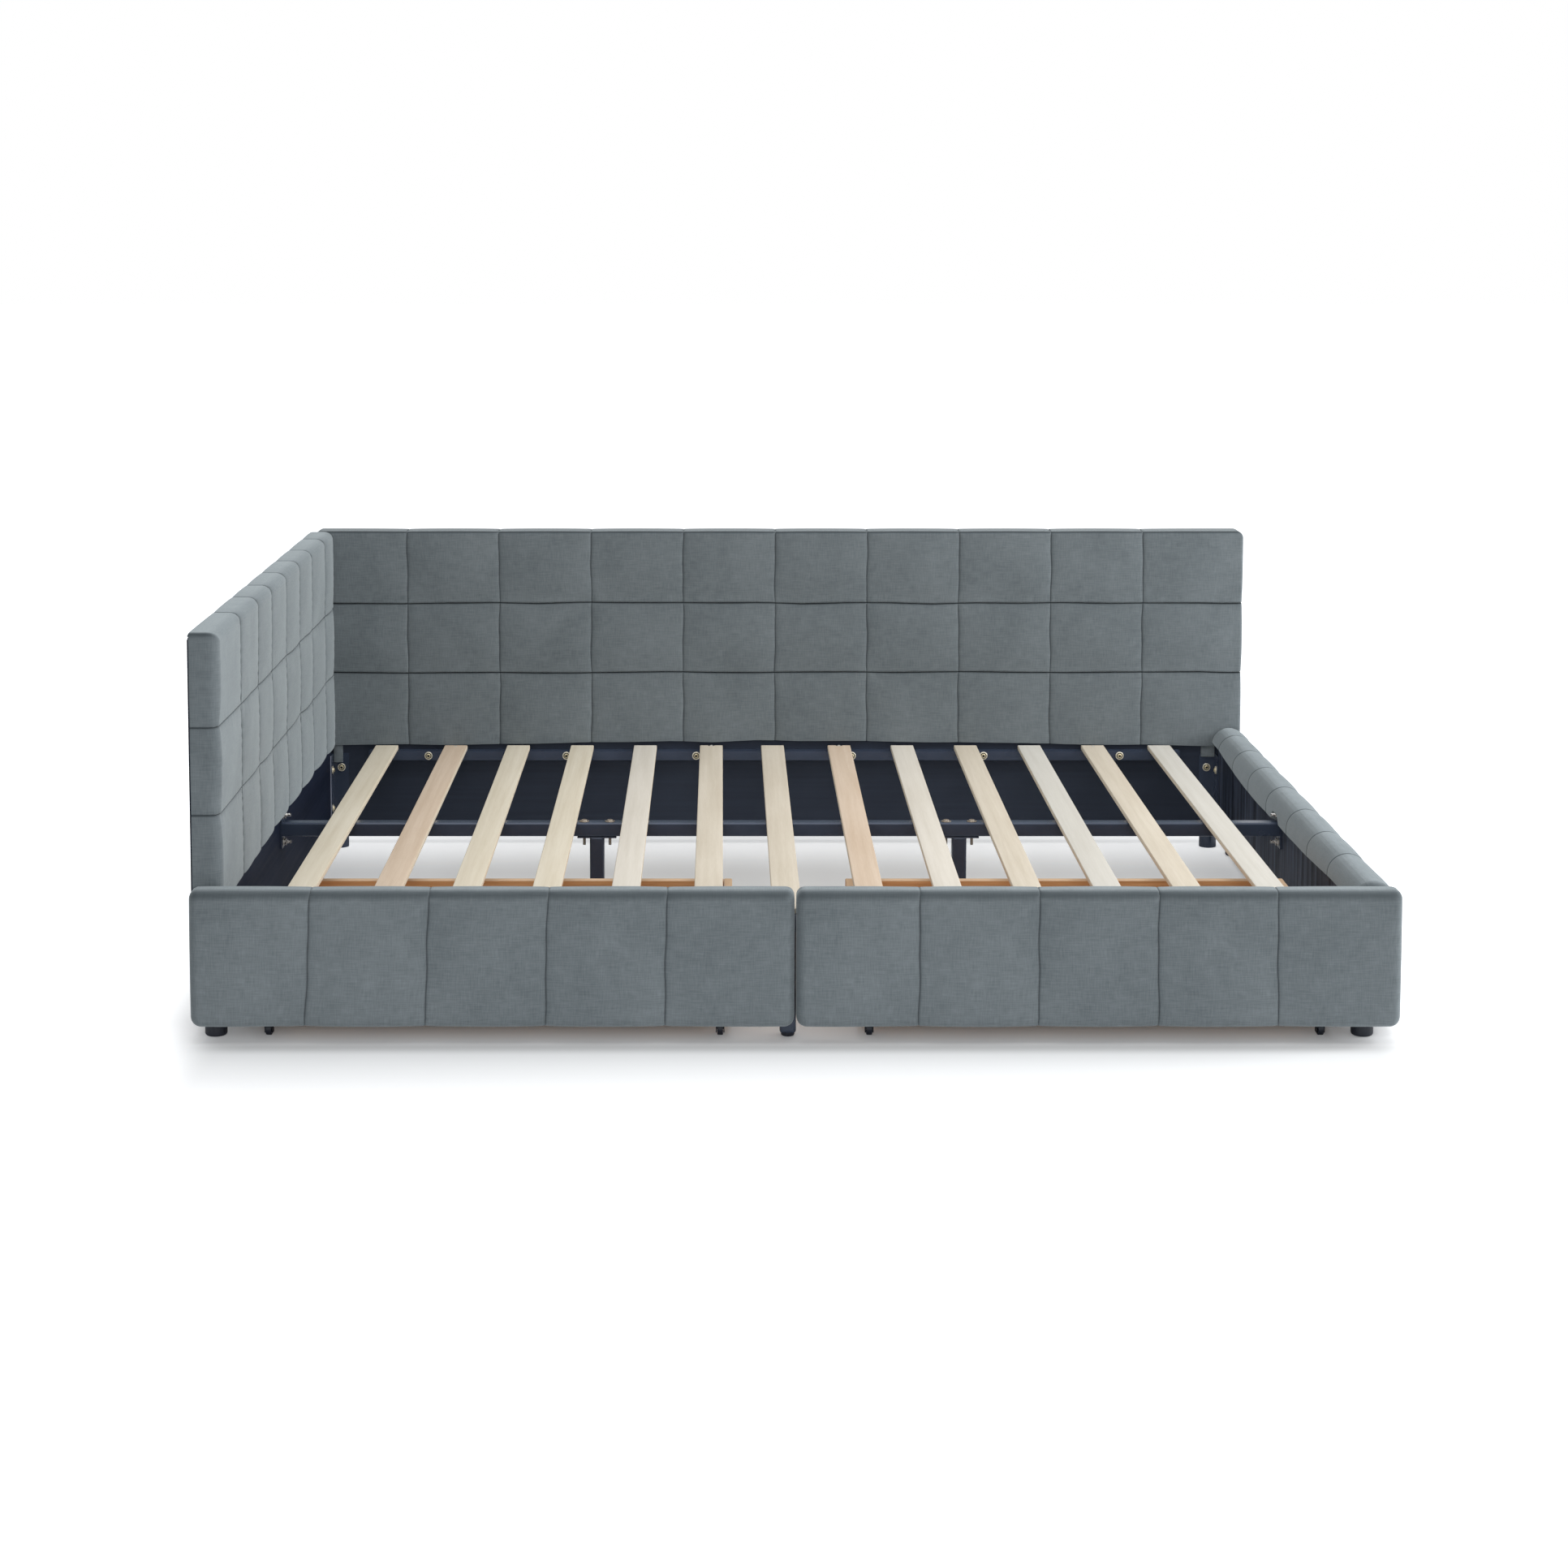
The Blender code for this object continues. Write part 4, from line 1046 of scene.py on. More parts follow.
    def relief(self, flat: Array) -> tuple[Array, Array, Array, Array]:
        """What the seams do to the skin.

        Formula: the face's height is the product of both directions' fullness times the cell's own swell and
        slack waves, with puckers beside the seams and a shelf above each row seam. A stitch line and its
        painted seam shade, a dark band for the shadow in the seam's groove, are bells round the seam.

        Args:
            flat: the flat skin's points, (n, 3).

        Returns:
            The face's height, (n,), and the fullness, stitch line and painted seam shade across and up, (2, n)
            each.
        """
        x, _, z = flat.T
        full_x, off_x, cell_x = self.fullness(x, self.column_seams)
        full_z, off_z, cell_z = self.fullness(z, self.row_seams)
        random = np.random.default_rng(self.seed + 1)
        variety = random.uniform(*self.variety, (len(self.columns), len(self.rows)))[cell_x, cell_z]
        pulls = self.pulls(off_x, z, cell_x, self.column_pulls) + self.pulls(off_z, x, cell_z, self.row_pulls)
        off = np.stack([off_x, off_z])
        line = bell(off, self.stitch_width)
        # dark: the painted seam shade, a band along each seam for the shadow in its groove
        dark = np.array(self.seam_shade)[:, None] * bell(off, np.array(self.seam_shade_width)[:, None])
        above = (z - self.rows[cell_z]) < (self.rows[cell_z + 1] - self.rows[cell_z]) / 2
        shelf = self.overhang * above * bell(off_z, self.shelf_reach) * (1 - line[1])
        full = full_x * full_z
        face = (self.swell * variety + waves(x, z, self.slack)) * full + self.pucker * pulls + shelf * full_x
        return face, np.stack([full_x, full_z]), line, dark

    def shaped(self, flat: Array) -> tuple[Array, Array]:
        """The pad's outer surface.

        Formula: seen from the front the outline is a rectangle with round corners; across its border the skin
        turns by a quarter circle. The relief is added along that skin's own normal: the face's height, a
        smaller scallop round the borders, less a narrow stitch line on each seam. At the rear edge a quarter
        circle takes the skin down to the board.

        Args:
            flat: the flat skin's points, (n, 3).

        Returns:
            The surface's points, and how much painted seam shade each of them takes, (n,).
        """
        face, full, line, dark = self.relief(flat)
        moved = flat + self.warp(flat)
        moved[:, 2] -= self.sag(flat)
        x, y, z = moved.T
        radius = np.where(z > self.height / 2, self.corner_top, self.corner_bottom)
        far_core = self.far + 1.0 if self.open_far_end else self.far - radius
        core_x = np.clip(x, radius - self.half, far_core)
        low_core = self.bottom + radius if self.wrap is Wrap.ROUND else -1.0
        core_z = np.clip(z, low_core, self.top - radius)
        out = np.stack([x - core_x, z - core_z])
        ring = np.abs(out).max(axis=0)
        away = (np.abs(out) ** self.corner_power).sum(axis=0) ** (1 / self.corner_power)
        toward = out / np.where(away > 0, away, 1)
        ring_core = np.minimum(ring, radius - self.border)
        rear_core = self.rear - self.border if self.lip_height else self.rear + 1.0
        y_core = np.clip(y, self.border - self.seam_level, rear_core)
        reach = np.hypot(ring - ring_core, y - y_core)
        reach = np.where(reach > 0, reach, 1)
        outward, through = (ring - ring_core) / reach, (y - y_core) / reach
        ahead = np.where(through < 0, through**2, 0)
        behind = np.where(through > 0, through**2, 0)
        shares = toward[::-1] ** 2
        edge_full, edge_line, edge_seam_shade = ((pair * shares).sum(axis=0) for pair in (full, line, dark))
        swell = face * ahead + self.scallop * (edge_full * outward**2 + full[0] * behind)
        stitch = np.maximum(self.stitch_depth * line[0], self.row_stitch_depth * line[1])
        swell -= stitch * ahead + self.stitch_depth * (edge_line * outward**2 + line[0] * behind)
        grown = self.border + swell
        late = np.clip(y - (self.rear - self.rear_radius), 0, self.rear_radius)
        drop = self.rear_radius - np.sqrt(self.rear_radius**2 - late**2)
        ring_out = ring_core + (grown - drop) * outward
        x, z = core_x + toward[0] * ring_out, core_z + toward[1] * ring_out
        points = np.stack([x, y_core + grown * through, z], axis=1)
        return points, dark.max(axis=0) * ahead + edge_seam_shade * outward**2 + dark[0] * behind

    def lining(self, flat: Array) -> Array:
        """The pad's inner surface, a touch clear of its board.

        Formula: along each axis, straight lines between a few known places carry the flat skin's outer edges
        to the board's, a gap clear of it; the hem's bow and the lip's sag are then added.
        """
        gap, reach = self.lining_gap, self.lining_reach
        (low_x, low_z), (high_x, high_z) = self.board_low, self.board_high
        moved = self.warp(flat)
        end = high_x if self.open_far_end else high_x + gap
        known_x = [-self.half, low_x + reach, high_x - reach, self.far]
        x = np.interp(flat[:, 0], known_x, [low_x - gap, low_x + reach, high_x - reach, end])
        known_low, inner_low = [0.0, self.hem_hold], [0.0, self.hem_hold]
        low_share = np.clip(1 - flat[:, 2] / self.bow_reach, 0, 1)
        if self.wrap is Wrap.ROUND:
            known_low, inner_low, low_share = [self.bottom, low_z + reach], [low_z - gap, low_z + reach], 0.0
        known_z, inner_z = [*known_low, high_z - reach, self.top], [*inner_low, high_z - reach, high_z + gap]
        z = np.interp(flat[:, 2], known_z, inner_z)
        known_y, inner_y = [-self.seam_level, self.rear], [-gap, self.rear]
        if self.lip_height:
            known_y = [-self.seam_level, self.depth, self.rear]
            inner_y = [-gap, self.depth, self.depth + 2 * gap]
        y = np.interp(flat[:, 1], known_y, inner_y)
        return np.stack([x, y, z + moved[:, 2] * low_share - self.sag(flat)], axis=1)

    def build(self) -> bpy.types.Object:
        """Makes the pad, in place of its CAD solid."""
        flat, metres = self.flat_skin()
        points, seam_shade = self.shaped(flat.points)
        outer = Skin(points, flat.quads, flat.cloth, seam_shade)
        skin = with_thickness(outer, self.lining(flat.points), metres)
        pad = add_piece(self.name, skin.placed(self.facing, self.origin), self.velvet, self.body)
        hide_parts(self.node)
        return pad


def even_columns(length: float, count: int, pitch: float, shift: float = 0.0, past: float = 0.08) -> Array:
    """Cells a pitch apart, moved along by a shift; the outer borders lie past the ends, where no seam is."""
    inner = pitch * (np.arange(1, count) - count / 2) + shift
    return np.array([-length / 2 - past, *inner, length / 2 + past])


def shared_columns(
    length: float, shares: tuple[float, ...], past: float = 0.08, last_past: float = 0.008
) -> Array:
    """Cells with seams at shares of the length; the first begins far past its end, the last ends just past."""
    inner = [length * (share - 0.5) for share in shares]
    return np.array([-length / 2 - past, *inner, length / 2 + last_past])


@dataclass
class Upholstery:
    """The five stitched pads, the two dust covers and the tabs in the rear corners."""

    seam_shares: Span = (0.336, 0.663)
    side_seam_shares: Span = (0.328, 0.646)
    side_shares: tuple[float, ...] = (0.17, 0.302, 0.412, 0.536, 0.661, 0.78, 0.914)
    end_shares: tuple[float, ...] = (0.168, 0.291, 0.423, 0.564, 0.698, 0.822, 0.939)
    back_pitch: float = 0.2016
    back_shift: float = -0.008
    drawer_pitch: float = 0.2018
    left_lean: tuple[float, ...] = (0.008, 0.012, 0.010, 0.006, 0.004, 0.0)
    right_lean: tuple[float, ...] = (0.0, 0.002, 0.001, -0.002, -0.004, -0.004)
    past_edge: float = 0.06
    past_border: float = 0.05
    hem_past: float = 0.035
    lip_places: tuple[float, ...] = (
        -0.6, -0.52, -0.42, -0.3, -0.1, -0.045, -0.028, 0.012, 0.03, 0.17, 0.29, 0.4, 0.5, 0.6, 0.68,
    )
    lip_hangs: tuple[float, ...] = (
        0, 0, 0.0038, 0.0085, 0.0115, 0.0105, -0.006, -0.006, 0.0125, 0.0147, 0.0126, 0.0086, 0.0024,
        -0.004, -0.006,
    )
    tab_thickness: float = 0.0026
    tab_back: float = 0.0035
    tab_edge: float = 0.0009
    tab_gap: float = 0.004
    tab_swell: float = 0.0012
    tab_wave: Wave = (0.0006, 190, 60, 0)
    tab_still: float = 0.001
    cover_hem: float = 0.014
    cover_thickness: float = 0.0003
    hem_lift: float = 0.001
    cover_fold: float = 0.004
    ripple: tuple[Wave, ...] = ((0.00018, 11, 5, 0), (0.000108, 19, -9, 0), (0.00018, 0, 23, 0))
    ripple_fade: float = 0.05
    staple_inset: float = 0.009
    staple_margin: float = 0.03
    staple_pitch: float = 0.06
    staple_half: Place = (0.005, 0.0006, 0.00045)
    staple_edge: float = 0.0003
    staple_sink: float = 0.0002

    def rows(self, height: float, shares: Span) -> Array:
        """The row seams of a tall panel, with borders past its hem and its top."""
        return np.array([-self.hem_past, *(height * share for share in shares), height + self.past_edge])

    def fitted(self, panel: str, axis: int) -> dict[str, object]:
        """A pad's sizes and place, from the boxes of its CAD solid and of its board.

        Args:
            panel: the panel's name.
            axis: the pad's long axis, 0 for X or 1 for Y.

        Returns:
            The StitchedPad fields that follow from them.
        """
        low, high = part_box(f"{panel}_pad")
        board_low, board_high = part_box(f"{panel}_board")
        middle = (low[axis] + high[axis]) / 2
        return {
            "node": f"{panel}_pad",
            "length": high[axis] - low[axis],
            "height": high.z - low.z,
            "depth": board_high[1 - axis] - board_low[1 - axis],
            "board_low": (board_low[axis] - middle, max(board_low.z - low.z, 0.0)),
            "board_high": (board_high[axis] - middle, board_high.z - low.z),
            "facing": Facing.PANEL_RIGHT if axis else Facing.UP,
            "origin": (board_high.x, middle, low.z) if axis else (middle, board_low.y, low.z),
        }

    def build_back(self) -> None:
        """The back panel's pad, between its hem and the top."""
        fit = self.fitted("back_panel", 0)
        StitchedPad(
            name="back_cushioned_pad", **fit,
            columns=even_columns(fit["length"], 10, self.back_pitch, self.back_shift),
            rows=self.rows(fit["height"], self.seam_shares), wrap=Wrap.HEM, border=0.005, swell=0.007,
            hem_bow=0.005, rear_radius=0.002, seam_shade=(0.36, 0.9), wander=0.0012, velvet=BACK_VELVET, seed=11,
        ).build()

    def build_side(self) -> None:
        """The tall side panel's pad, which faces the deck and turns round the panel's front edge."""
        fit = self.fitted("side_panel", 1)
        StitchedPad(
            name="side_cushioned_pad", **fit, columns=shared_columns(fit["length"], self.side_shares),
            rows=self.rows(fit["height"], self.side_seam_shares), wrap=Wrap.HEM, open_far_end=True,
            border=0.016, corner_top=0.02, scallop=0.0016, hem_bow=0.002, rear_radius=0.005, pucker=0.0005,
            far_reach=0.005, seam_shade=(0.85, 0.9), seam_shade_width=(0.0015, 0.0014), wander=0.0012,
            row_stitch_depth=0.0026, corner_power=4.5, row_tilt=0.005, velvet=SIDE_VELVET, seed=23,
        ).build()

    def build_end(self) -> None:
        """The low end rail's pad, which rolls over the top to a lip inside."""
        fit = self.fitted("end_rail", 1)
        lip_curve = np.array([np.array(self.lip_places) - fit["origin"][1], self.lip_hangs])
        StitchedPad(
            name="end_cushioned_pad", **fit, columns=shared_columns(fit["length"], self.end_shares),
            rows=np.array([-self.hem_past, fit["height"] + self.past_border]), wrap=Wrap.ROLL,
            open_far_end=True, border=0.0365, corner_top=0.037, corner_bottom=0.037, lip_height=0.199,
            lip_depth=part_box("end_rail_board")[0].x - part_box("end_rail_pad")[0].x, lip_curve=lip_curve,
            swell=0.005, scallop=0.0006, stitch_depth=0.001, stitch_width=0.0013, seam_shade=(0.45, 0.2),
            crown_share=0.8, softness=0.012, pucker=0.001, seed=31,
        ).build()

    def build_drawer(self, drawer: str, lean: tuple[float, ...], shift: float) -> None:
        """A drawer front's pad, round all four edges of its board, with seams that lean a little."""
        fit = self.fitted(f"{drawer}_front", 0)
        border = self.past_border
        StitchedPad(
            name=f"{drawer}_cushioned_front", **fit, body=drawer,
            columns=even_columns(fit["length"], 5, self.drawer_pitch, shift, border),
            rows=np.array([-border, fit["height"] + border]), wrap=Wrap.ROUND, border=0.0145,
            corner_top=0.0155, corner_bottom=0.019, corner_power=2.3, side_reach=0.0008,
            lean=np.array(lean), seed=41,
        ).build()

    def build_tab(self, side: str, sign: int, width: float, hang: float) -> None:
        """An end of the velvet that hangs below the back hem, down over the top of a rear corner plate.

        Formula: a rounded block whose face swells by a sine hump across and swings by one slow sine wave
        down it.

        Args:
            side: left or right.
            sign: 1 where the tab goes to the right from the plate's inner edge, -1 where it goes to the left.
            width: how wide it is.
            hang: how far it comes down over the plate.
        """
        low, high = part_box(f"rear_corner_leg_{side}")
        inner = (low.x if sign > 0 else high.x) + sign * self.tab_gap
        start, end = sorted((inner, inner + sign * width))
        rear, top = high.y - self.tab_back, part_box("back_panel_pad")[0].z + self.tab_gap
        corner, far = np.array([start, rear - self.tab_thickness, high.z - hang]), np.array([end, rear, top])
        across, upright = (np.linspace(corner[axis], far[axis], 14)[1:-1] for axis in (0, 2))
        skin = rounded_block(corner, far, self.tab_edge, (across, None, upright))
        x, y, z = skin.points.T
        hump = np.sin(np.pi * np.clip((x - start) / (end - start), 0, 1))
        rise = self.tab_swell * hump + waves(z, x, (self.tab_wave,))
        skin.points[:, 1] -= rise * (y < rear - self.tab_still)
        metres = skin.points[:, [0, 2]]
        add_piece(f"velvet_tab_{side}", Skin(skin.points, skin.quads, metres[skin.quads]), VELVET)

    def build_dust_cover(self, panel: str, name: str, axis: int, outward: float) -> None:
        """A stretched dust cover with slack ripples between its staples.

        Formula: the height over its plane is a sum of three slow sine waves, which fade to 0 at the edges,
        and a smooth step up within the folded hem.

        Args:
            panel: the panel whose outside it covers.
            name: the cover's name.
            axis: the axis that it faces along, 0 for X or 1 for Y.
            outward: 1 where it faces the axis's high end, -1 for the low one.
        """
        low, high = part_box(f"{panel}_dust_cover")
        long = 1 - axis
        along, up = np.linspace(low[long], high[long], 160), np.linspace(low.z, high.z, 60)
        across, upright = np.meshgrid(along, up, indexing="ij")
        gaps = (across - low[long], high[long] - across, upright - low.z, high.z - upright)
        inset = np.minimum.reduce(gaps)
        fold = np.clip((self.cover_hem - inset) / self.cover_fold, 0, 1)
        ripple = waves(across, upright, self.ripple) * np.clip(inset / self.ripple_fade, 0, 1)
        lift = ripple + self.hem_lift * fold * fold * (3 - 2 * fold)
        inner_face = (low if outward > 0 else high)[axis]
        outer = inner_face + outward * (2 * self.cover_thickness + lift)
        grids = []
        for level in (outer, outer - outward * self.cover_thickness):
            points = np.empty(across.shape + (3,))
            points[..., long], points[..., axis], points[..., 2] = across, level, upright
            grids.append(points.reshape(-1, 3))
        quads = grid_quads(*across.shape)[:, ::-1]
        flat = np.stack([across.ravel(), upright.ravel()], axis=1)
        skin = with_thickness(Skin(grids[0], quads, flat[quads]), grids[1], flat)
        cover = add_piece(name, skin, CLOTH)
        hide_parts(f"{panel}_dust_cover")
        self.build_staples(name, low, high, axis, outward)

    def build_staples(self, name: str, low: Vector, high: Vector, axis: int, outward: float) -> None:
        """A row of staples round a dust cover's border.

        Args:
            name: the cover's name.
            low: the cover's lowest corner.
            high: its highest corner.
            axis: the axis that it faces along.
            outward: 1 where it faces the axis's high end, -1 for the low one.
        """
        rows = []
        half, width, height = self.staple_half
        level = (high if outward > 0 else low)[axis] + outward * (self.hem_lift - self.staple_sink)
        for run, edge in ((1 - axis, 2), (2, 1 - axis)):
            start, end = low[run] + self.staple_margin, high[run] - self.staple_margin
            places = np.linspace(start, end, int((high[run] - low[run]) / self.staple_pitch))
            size = np.empty(3)
            size[run], size[edge], size[axis] = half, width, height
            for border in (low[edge] + self.staple_inset, high[edge] - self.staple_inset):
                spots = np.empty((len(places), 3))
                spots[:, run], spots[:, edge], spots[:, axis] = places, border, level
                rows.append(rounded_block(-size, size, self.staple_edge).repeated(spots))
        add_piece(f"{name}_staples", gathered(rows), ZINC)

    def build(self) -> None:
        """Makes all the soft pieces."""
        self.build_back()
        self.build_side()
        self.build_end()
        self.build_drawer("drawer_left", self.left_lean, -0.0085)
        self.build_drawer("drawer_right", self.right_lean, -0.001)
        self.build_dust_cover("back_panel", "back_stretched_cover", 1, 1.0)
        self.build_dust_cover("side_panel", "side_stretched_cover", 0, -1.0)
        self.build_tab("left", 1, 0.02, 0.0205)
        self.build_tab("right", -1, 0.03, 0.008)


# deck


@dataclass
class Deck:
    """The thirteen slats. Two have a half-round notch at the wall end, and four have a screw there."""

    edge: float = 0.0018
    notched: tuple[int, ...] = (6, 8)
    screwed: tuple[int, ...] = (2, 6, 8, 12)
    notch_radius: float = 0.0075
    screw_radius: float = 0.0038
    screw_sink: float = 0.0012
    screw_back: float = 0.012
    notched_screw_back: float = 0.004
    tones: tuple[Tone, ...] = (
        Tone.STRAW, Tone.PINK, Tone.STRAW, Tone.STRAW, Tone.PALE, Tone.CREAM, Tone.CREAM,
        Tone.PINK, Tone.PALE, Tone.CREAM, Tone.WHITE, Tone.CREAM, Tone.WHITE,
    )

    def slat_skin(self, low: Array, high: Array, notched: bool) -> Skin:
        """One slat.

        Formula: a rounded block; where it is notched, each point near the wall end is drawn back by the half
        circle's depth at its place across, in proportion to how near the end it is.
        """
        middle = (low[0] + high[0]) / 2
        reach = 3 * self.notch_radius
        bow = self.notch_radius * np.sin(np.linspace(-np.pi / 2, np.pi / 2, 15))
        near_notch = high[1] - reach * np.array([1, 0.6, 0.3])
        along = np.concatenate([np.linspace(low[1], high[1], 12)[1:-1], near_notch])
        skin = rounded_block(low, high, self.edge, (middle + bow if notched else None, along, None))
        if notched:
            x, y, _ = skin.points.T
            depth = np.sqrt(np.clip(self.notch_radius**2 - (x - middle) ** 2, 0, None))
            skin.points[:, 1] -= depth * np.clip((y - (high[1] - reach)) / reach, 0, 1)
        return skin

    def build(self) -> None:
        """Makes the slats and their screws."""
        spots = []
        for number, tone in enumerate(self.tones, 1):
            low, high = (np.array(corner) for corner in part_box(f"slat_{number:02d}"))
            skin = self.slat_skin(low, high, number in self.notched)
            slat = add_piece(f"birch_slat_{number:02d}", skin, tone.value)
            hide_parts(f"slat_{number:02d}")
            if number in self.screwed:
                back = self.notched_screw_back if number in self.notched else self.screw_back
                spots.append(((low[0] + high[0]) / 2, high[1] - back, high[2] - self.screw_sink))
        add_piece("slat_screws", screw_head(self.screw_radius).repeated(spots), ZINC)


# fasteners


def socket_bolt(head: float, height: float, socket: float) -> Skin:
    """A button-head bolt with a hexagon socket, standing on its own XY plane.

    Formula: a turned profile whose socket rings are hexagonal.

    Args:
        head: the head's radius.
        height: the head's height.
        socket: from the middle to a flat of the socket.

    Returns:
        The closed surface, its head along +Z.
    """
    deep = height * 0.02
    profile = [
        (0, -HEAD_SINK), (head, -HEAD_SINK), (head, height * 0.3), (head * 0.94, height * 0.62),
        (head * 0.8, height * 0.88), (head * 0.64, height), (socket * 1.12, height), (socket, height * 0.94),
        (socket, deep), (0, deep * 0.5),
    ]
    return turned(profile, 36, {6: 0.8, 7: 1.0, 8: 1.0})


def washer(radius: float, thickness: float, hollow: float = 0.3) -> Skin:
    """A washer with an eased rim, hollowed to a share of its radius, on its own XY plane."""
    ease = thickness * 0.35
    rim = [(radius - ease, 0), (radius, ease), (radius, thickness - ease), (radius - ease, thickness)]
    inner = [(radius * (hollow + 0.04), thickness), (radius * hollow, thickness * 0.3), (0, thickness * 0.3)]
    return turned([(0, 0), *rim, *inner], 36)


def hex_nut(flat: float, height: float) -> Skin:
    """A hexagon nut or bolt head with chamfered corners, on its own XY plane."""
    rim = [(flat * 0.95, 0), (flat, height * 0.15), (flat, height * 0.85), (flat * 0.93, height)]
    profile = [(0, 0), *rim, (0, height)]
    return turned(profile, 36, {1: 0.55, 2: 1.0, 3: 1.0, 4: 0.55})


def screw_head(radius: float) -> Skin:
    """A small pan head with a dished cross recess, on its own XY plane."""
    height = radius * 0.55
    profile = [
        (0, -HEAD_SINK), (radius, -HEAD_SINK), (radius, height * 0.45), (radius * 0.8, height * 0.85),
        (radius * 0.5, height), (radius * 0.34, height), (radius * 0.16, height * 0.35), (0, height * 0.25),
    ]
    return turned(profile, 24)


def threaded_end(radius: float, length: float, turns: int) -> Skin:
    """A bolt's threaded end, hanging from its own XY plane along -Z.

    Formula: a turned profile whose radius swings between root and crest once a turn.
    """
    height = np.linspace(0.0, -length, turns * 4 + 1)
    swing = radius * (1 - 0.09 * (0.5 - 0.5 * np.cos(np.linspace(0, turns * 2 * np.pi, turns * 4 + 1))))
    swing[-1] *= 0.8
    rings = list(zip(swing[::-1].tolist(), height[::-1].tolist()))
    return turned([(0, -length), *rings, (0, 0.0)], 20)


@dataclass
class Fasteners:
    """The brass bolts and washers on the rails, the corner plates and the legs."""

    head: float = 0.005
    head_height: float = 0.0042
    socket: float = 0.0027
    washer_radius: float = 0.0088
    washer_thickness: float = 0.0022
    hollow: float = 0.76
    rear_rail_spots: tuple[float, ...] = (-0.769, -0.466, -0.181, 0.161, 0.450, 0.749)
    corner_height: float = 0.173
    corner_low_height: float = 0.0855
    corner_shift: float = 0.002
    corner_inset: float = 0.014
    # where the painted highlight strip lies on the flange, how wide it is and its rounding
    flange_low: Place = (0.0004, -0.0009, 0.05)
    flange_high: float = 0.0026
    highlight_rounding: float = 0.0003
    plate: float = 0.003
    end_plate: float = 0.004
    leg_head: Place = (0.0062, 0.0032, 0.0031)
    leg_head_rise: float = 0.0008
    leg_washer: Place = (0.0098, 0.0014, 0.72)
    leg_tip: tuple[float, float, int] = (0.0029, 0.016, 10)
    leg_bolt_inset: float = 0.013
    nut: Span = (0.0066, 0.0046)
    nut_washer: Span = (0.0082, 0.0014)
    nut_tip: tuple[float, float, int] = (0.0034, 0.009, 6)
    nut_tip_rise: float = 0.015
    nut_inset: float = 0.011
    glide_radius: float = 0.0116
    legs: tuple[str, ...] = ("centre_rail_leg_left", "centre_rail_leg_right", "front_rail_leg")

    def seated(self, name: str, facing: Facing, spots: list[Place]) -> None:
        """Bolts with washers that look one way, and black discs in their hollows as painted shade.

        Args:
            name: what the bolts hold.
            facing: the way their heads look.
            spots: places on the surface that they sit on.
        """
        bolt = socket_bolt(self.head, self.head_height, self.socket)
        bolt.points[:, 2] += self.washer_thickness * 0.3
        ring = washer(self.washer_radius, self.washer_thickness, self.hollow)
        # painted shade: a black disc on each washer's hollow floor and one in each socket stand in for the
        # shadow there
        floor = washer(self.washer_radius * (self.hollow - 0.02), self.washer_thickness * 0.36, 0.5)
        bottom = turned([(0, 0), (self.socket * 0.98, 0), (self.socket * 0.98, 0.0002), (0, 0.0002)], 36)
        bottom.points[:, 2] += self.head_height * 0.6
        painted_shadow = gathered([floor, bottom])
        for part, skin, finish in (("bolts", bolt, BRASS), ("washers", ring, CREAM), ("shadow_discs", painted_shadow, BLACK)):
            add_piece(f"{name}_{part}", skin.placed(facing).repeated(spots), finish)

    def build_rear_rail(self) -> None:
        """Six bolts through the rail that carries the slats along the back."""
        low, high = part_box("rear_slat_rail")
        middle = (low.z + high.z) / 2
        self.seated("rear_rail", Facing.FRONT, [(x, low.y, middle) for x in self.rear_rail_spots])

    def build_corners(self) -> None:
        """Bolts through both flanges of each rear corner plate."""
        for side, sign, facing in (("left", 1, Facing.RIGHT), ("right", -1, Facing.LEFT)):
            low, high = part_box(f"rear_corner_leg_{side}")
            inner_x = low.x + self.plate if sign > 0 else high.x - self.plate
            face = ((low.x + high.x) / 2 + sign * self.corner_shift, high.y - self.plate, self.corner_height)
            self.seated(f"corner_back_{side}", Facing.FRONT, [face])
            heights = (self.corner_height - self.corner_shift, self.corner_low_height)
            inner_y = low.y + self.corner_inset
            self.seated(f"corner_side_{side}", facing, [(inner_x, inner_y, z) for z in heights])

    def build_flange_highlight(self) -> None:
        """A painted highlight: a light strip along the edge of the left corner plate's side flange."""
        low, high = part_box("rear_corner_leg_left")
        corner = np.array(low) + self.flange_low
        edge = rounded_block(corner, (low.x + self.flange_high, low.y, high.z), self.highlight_rounding)
        add_piece("corner_flange_highlight", edge, FLANGE_HIGHLIGHT)

    def build_leg_bolts(self) -> None:
        """Bolts down through the centre rail into each leg's head plate, with their ends hanging below it."""
        low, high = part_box("centre_rail")
        middle = (low.y + high.y) / 2
        rail_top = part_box("front_slat_rail")[1].z
        tops, ends = [], []
        for leg in self.legs[:2]:
            plate_low, plate_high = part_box(leg)
            for x in (plate_low.x + self.leg_bolt_inset, plate_high.x - self.leg_bolt_inset):
                tops.append((x, middle, rail_top))
                ends.append((x, middle, plate_high.z - self.plate))
        heads = socket_bolt(*self.leg_head).repeated(np.array(tops) + [0, 0, self.leg_head_rise])
        add_piece("leg_bolt_heads", heads, BRONZE)
        add_piece("leg_bolt_washers", washer(*self.leg_washer).repeated(tops), BRONZE)
        add_piece("leg_bolt_ends", threaded_end(*self.leg_tip).repeated(ends), BRONZE)

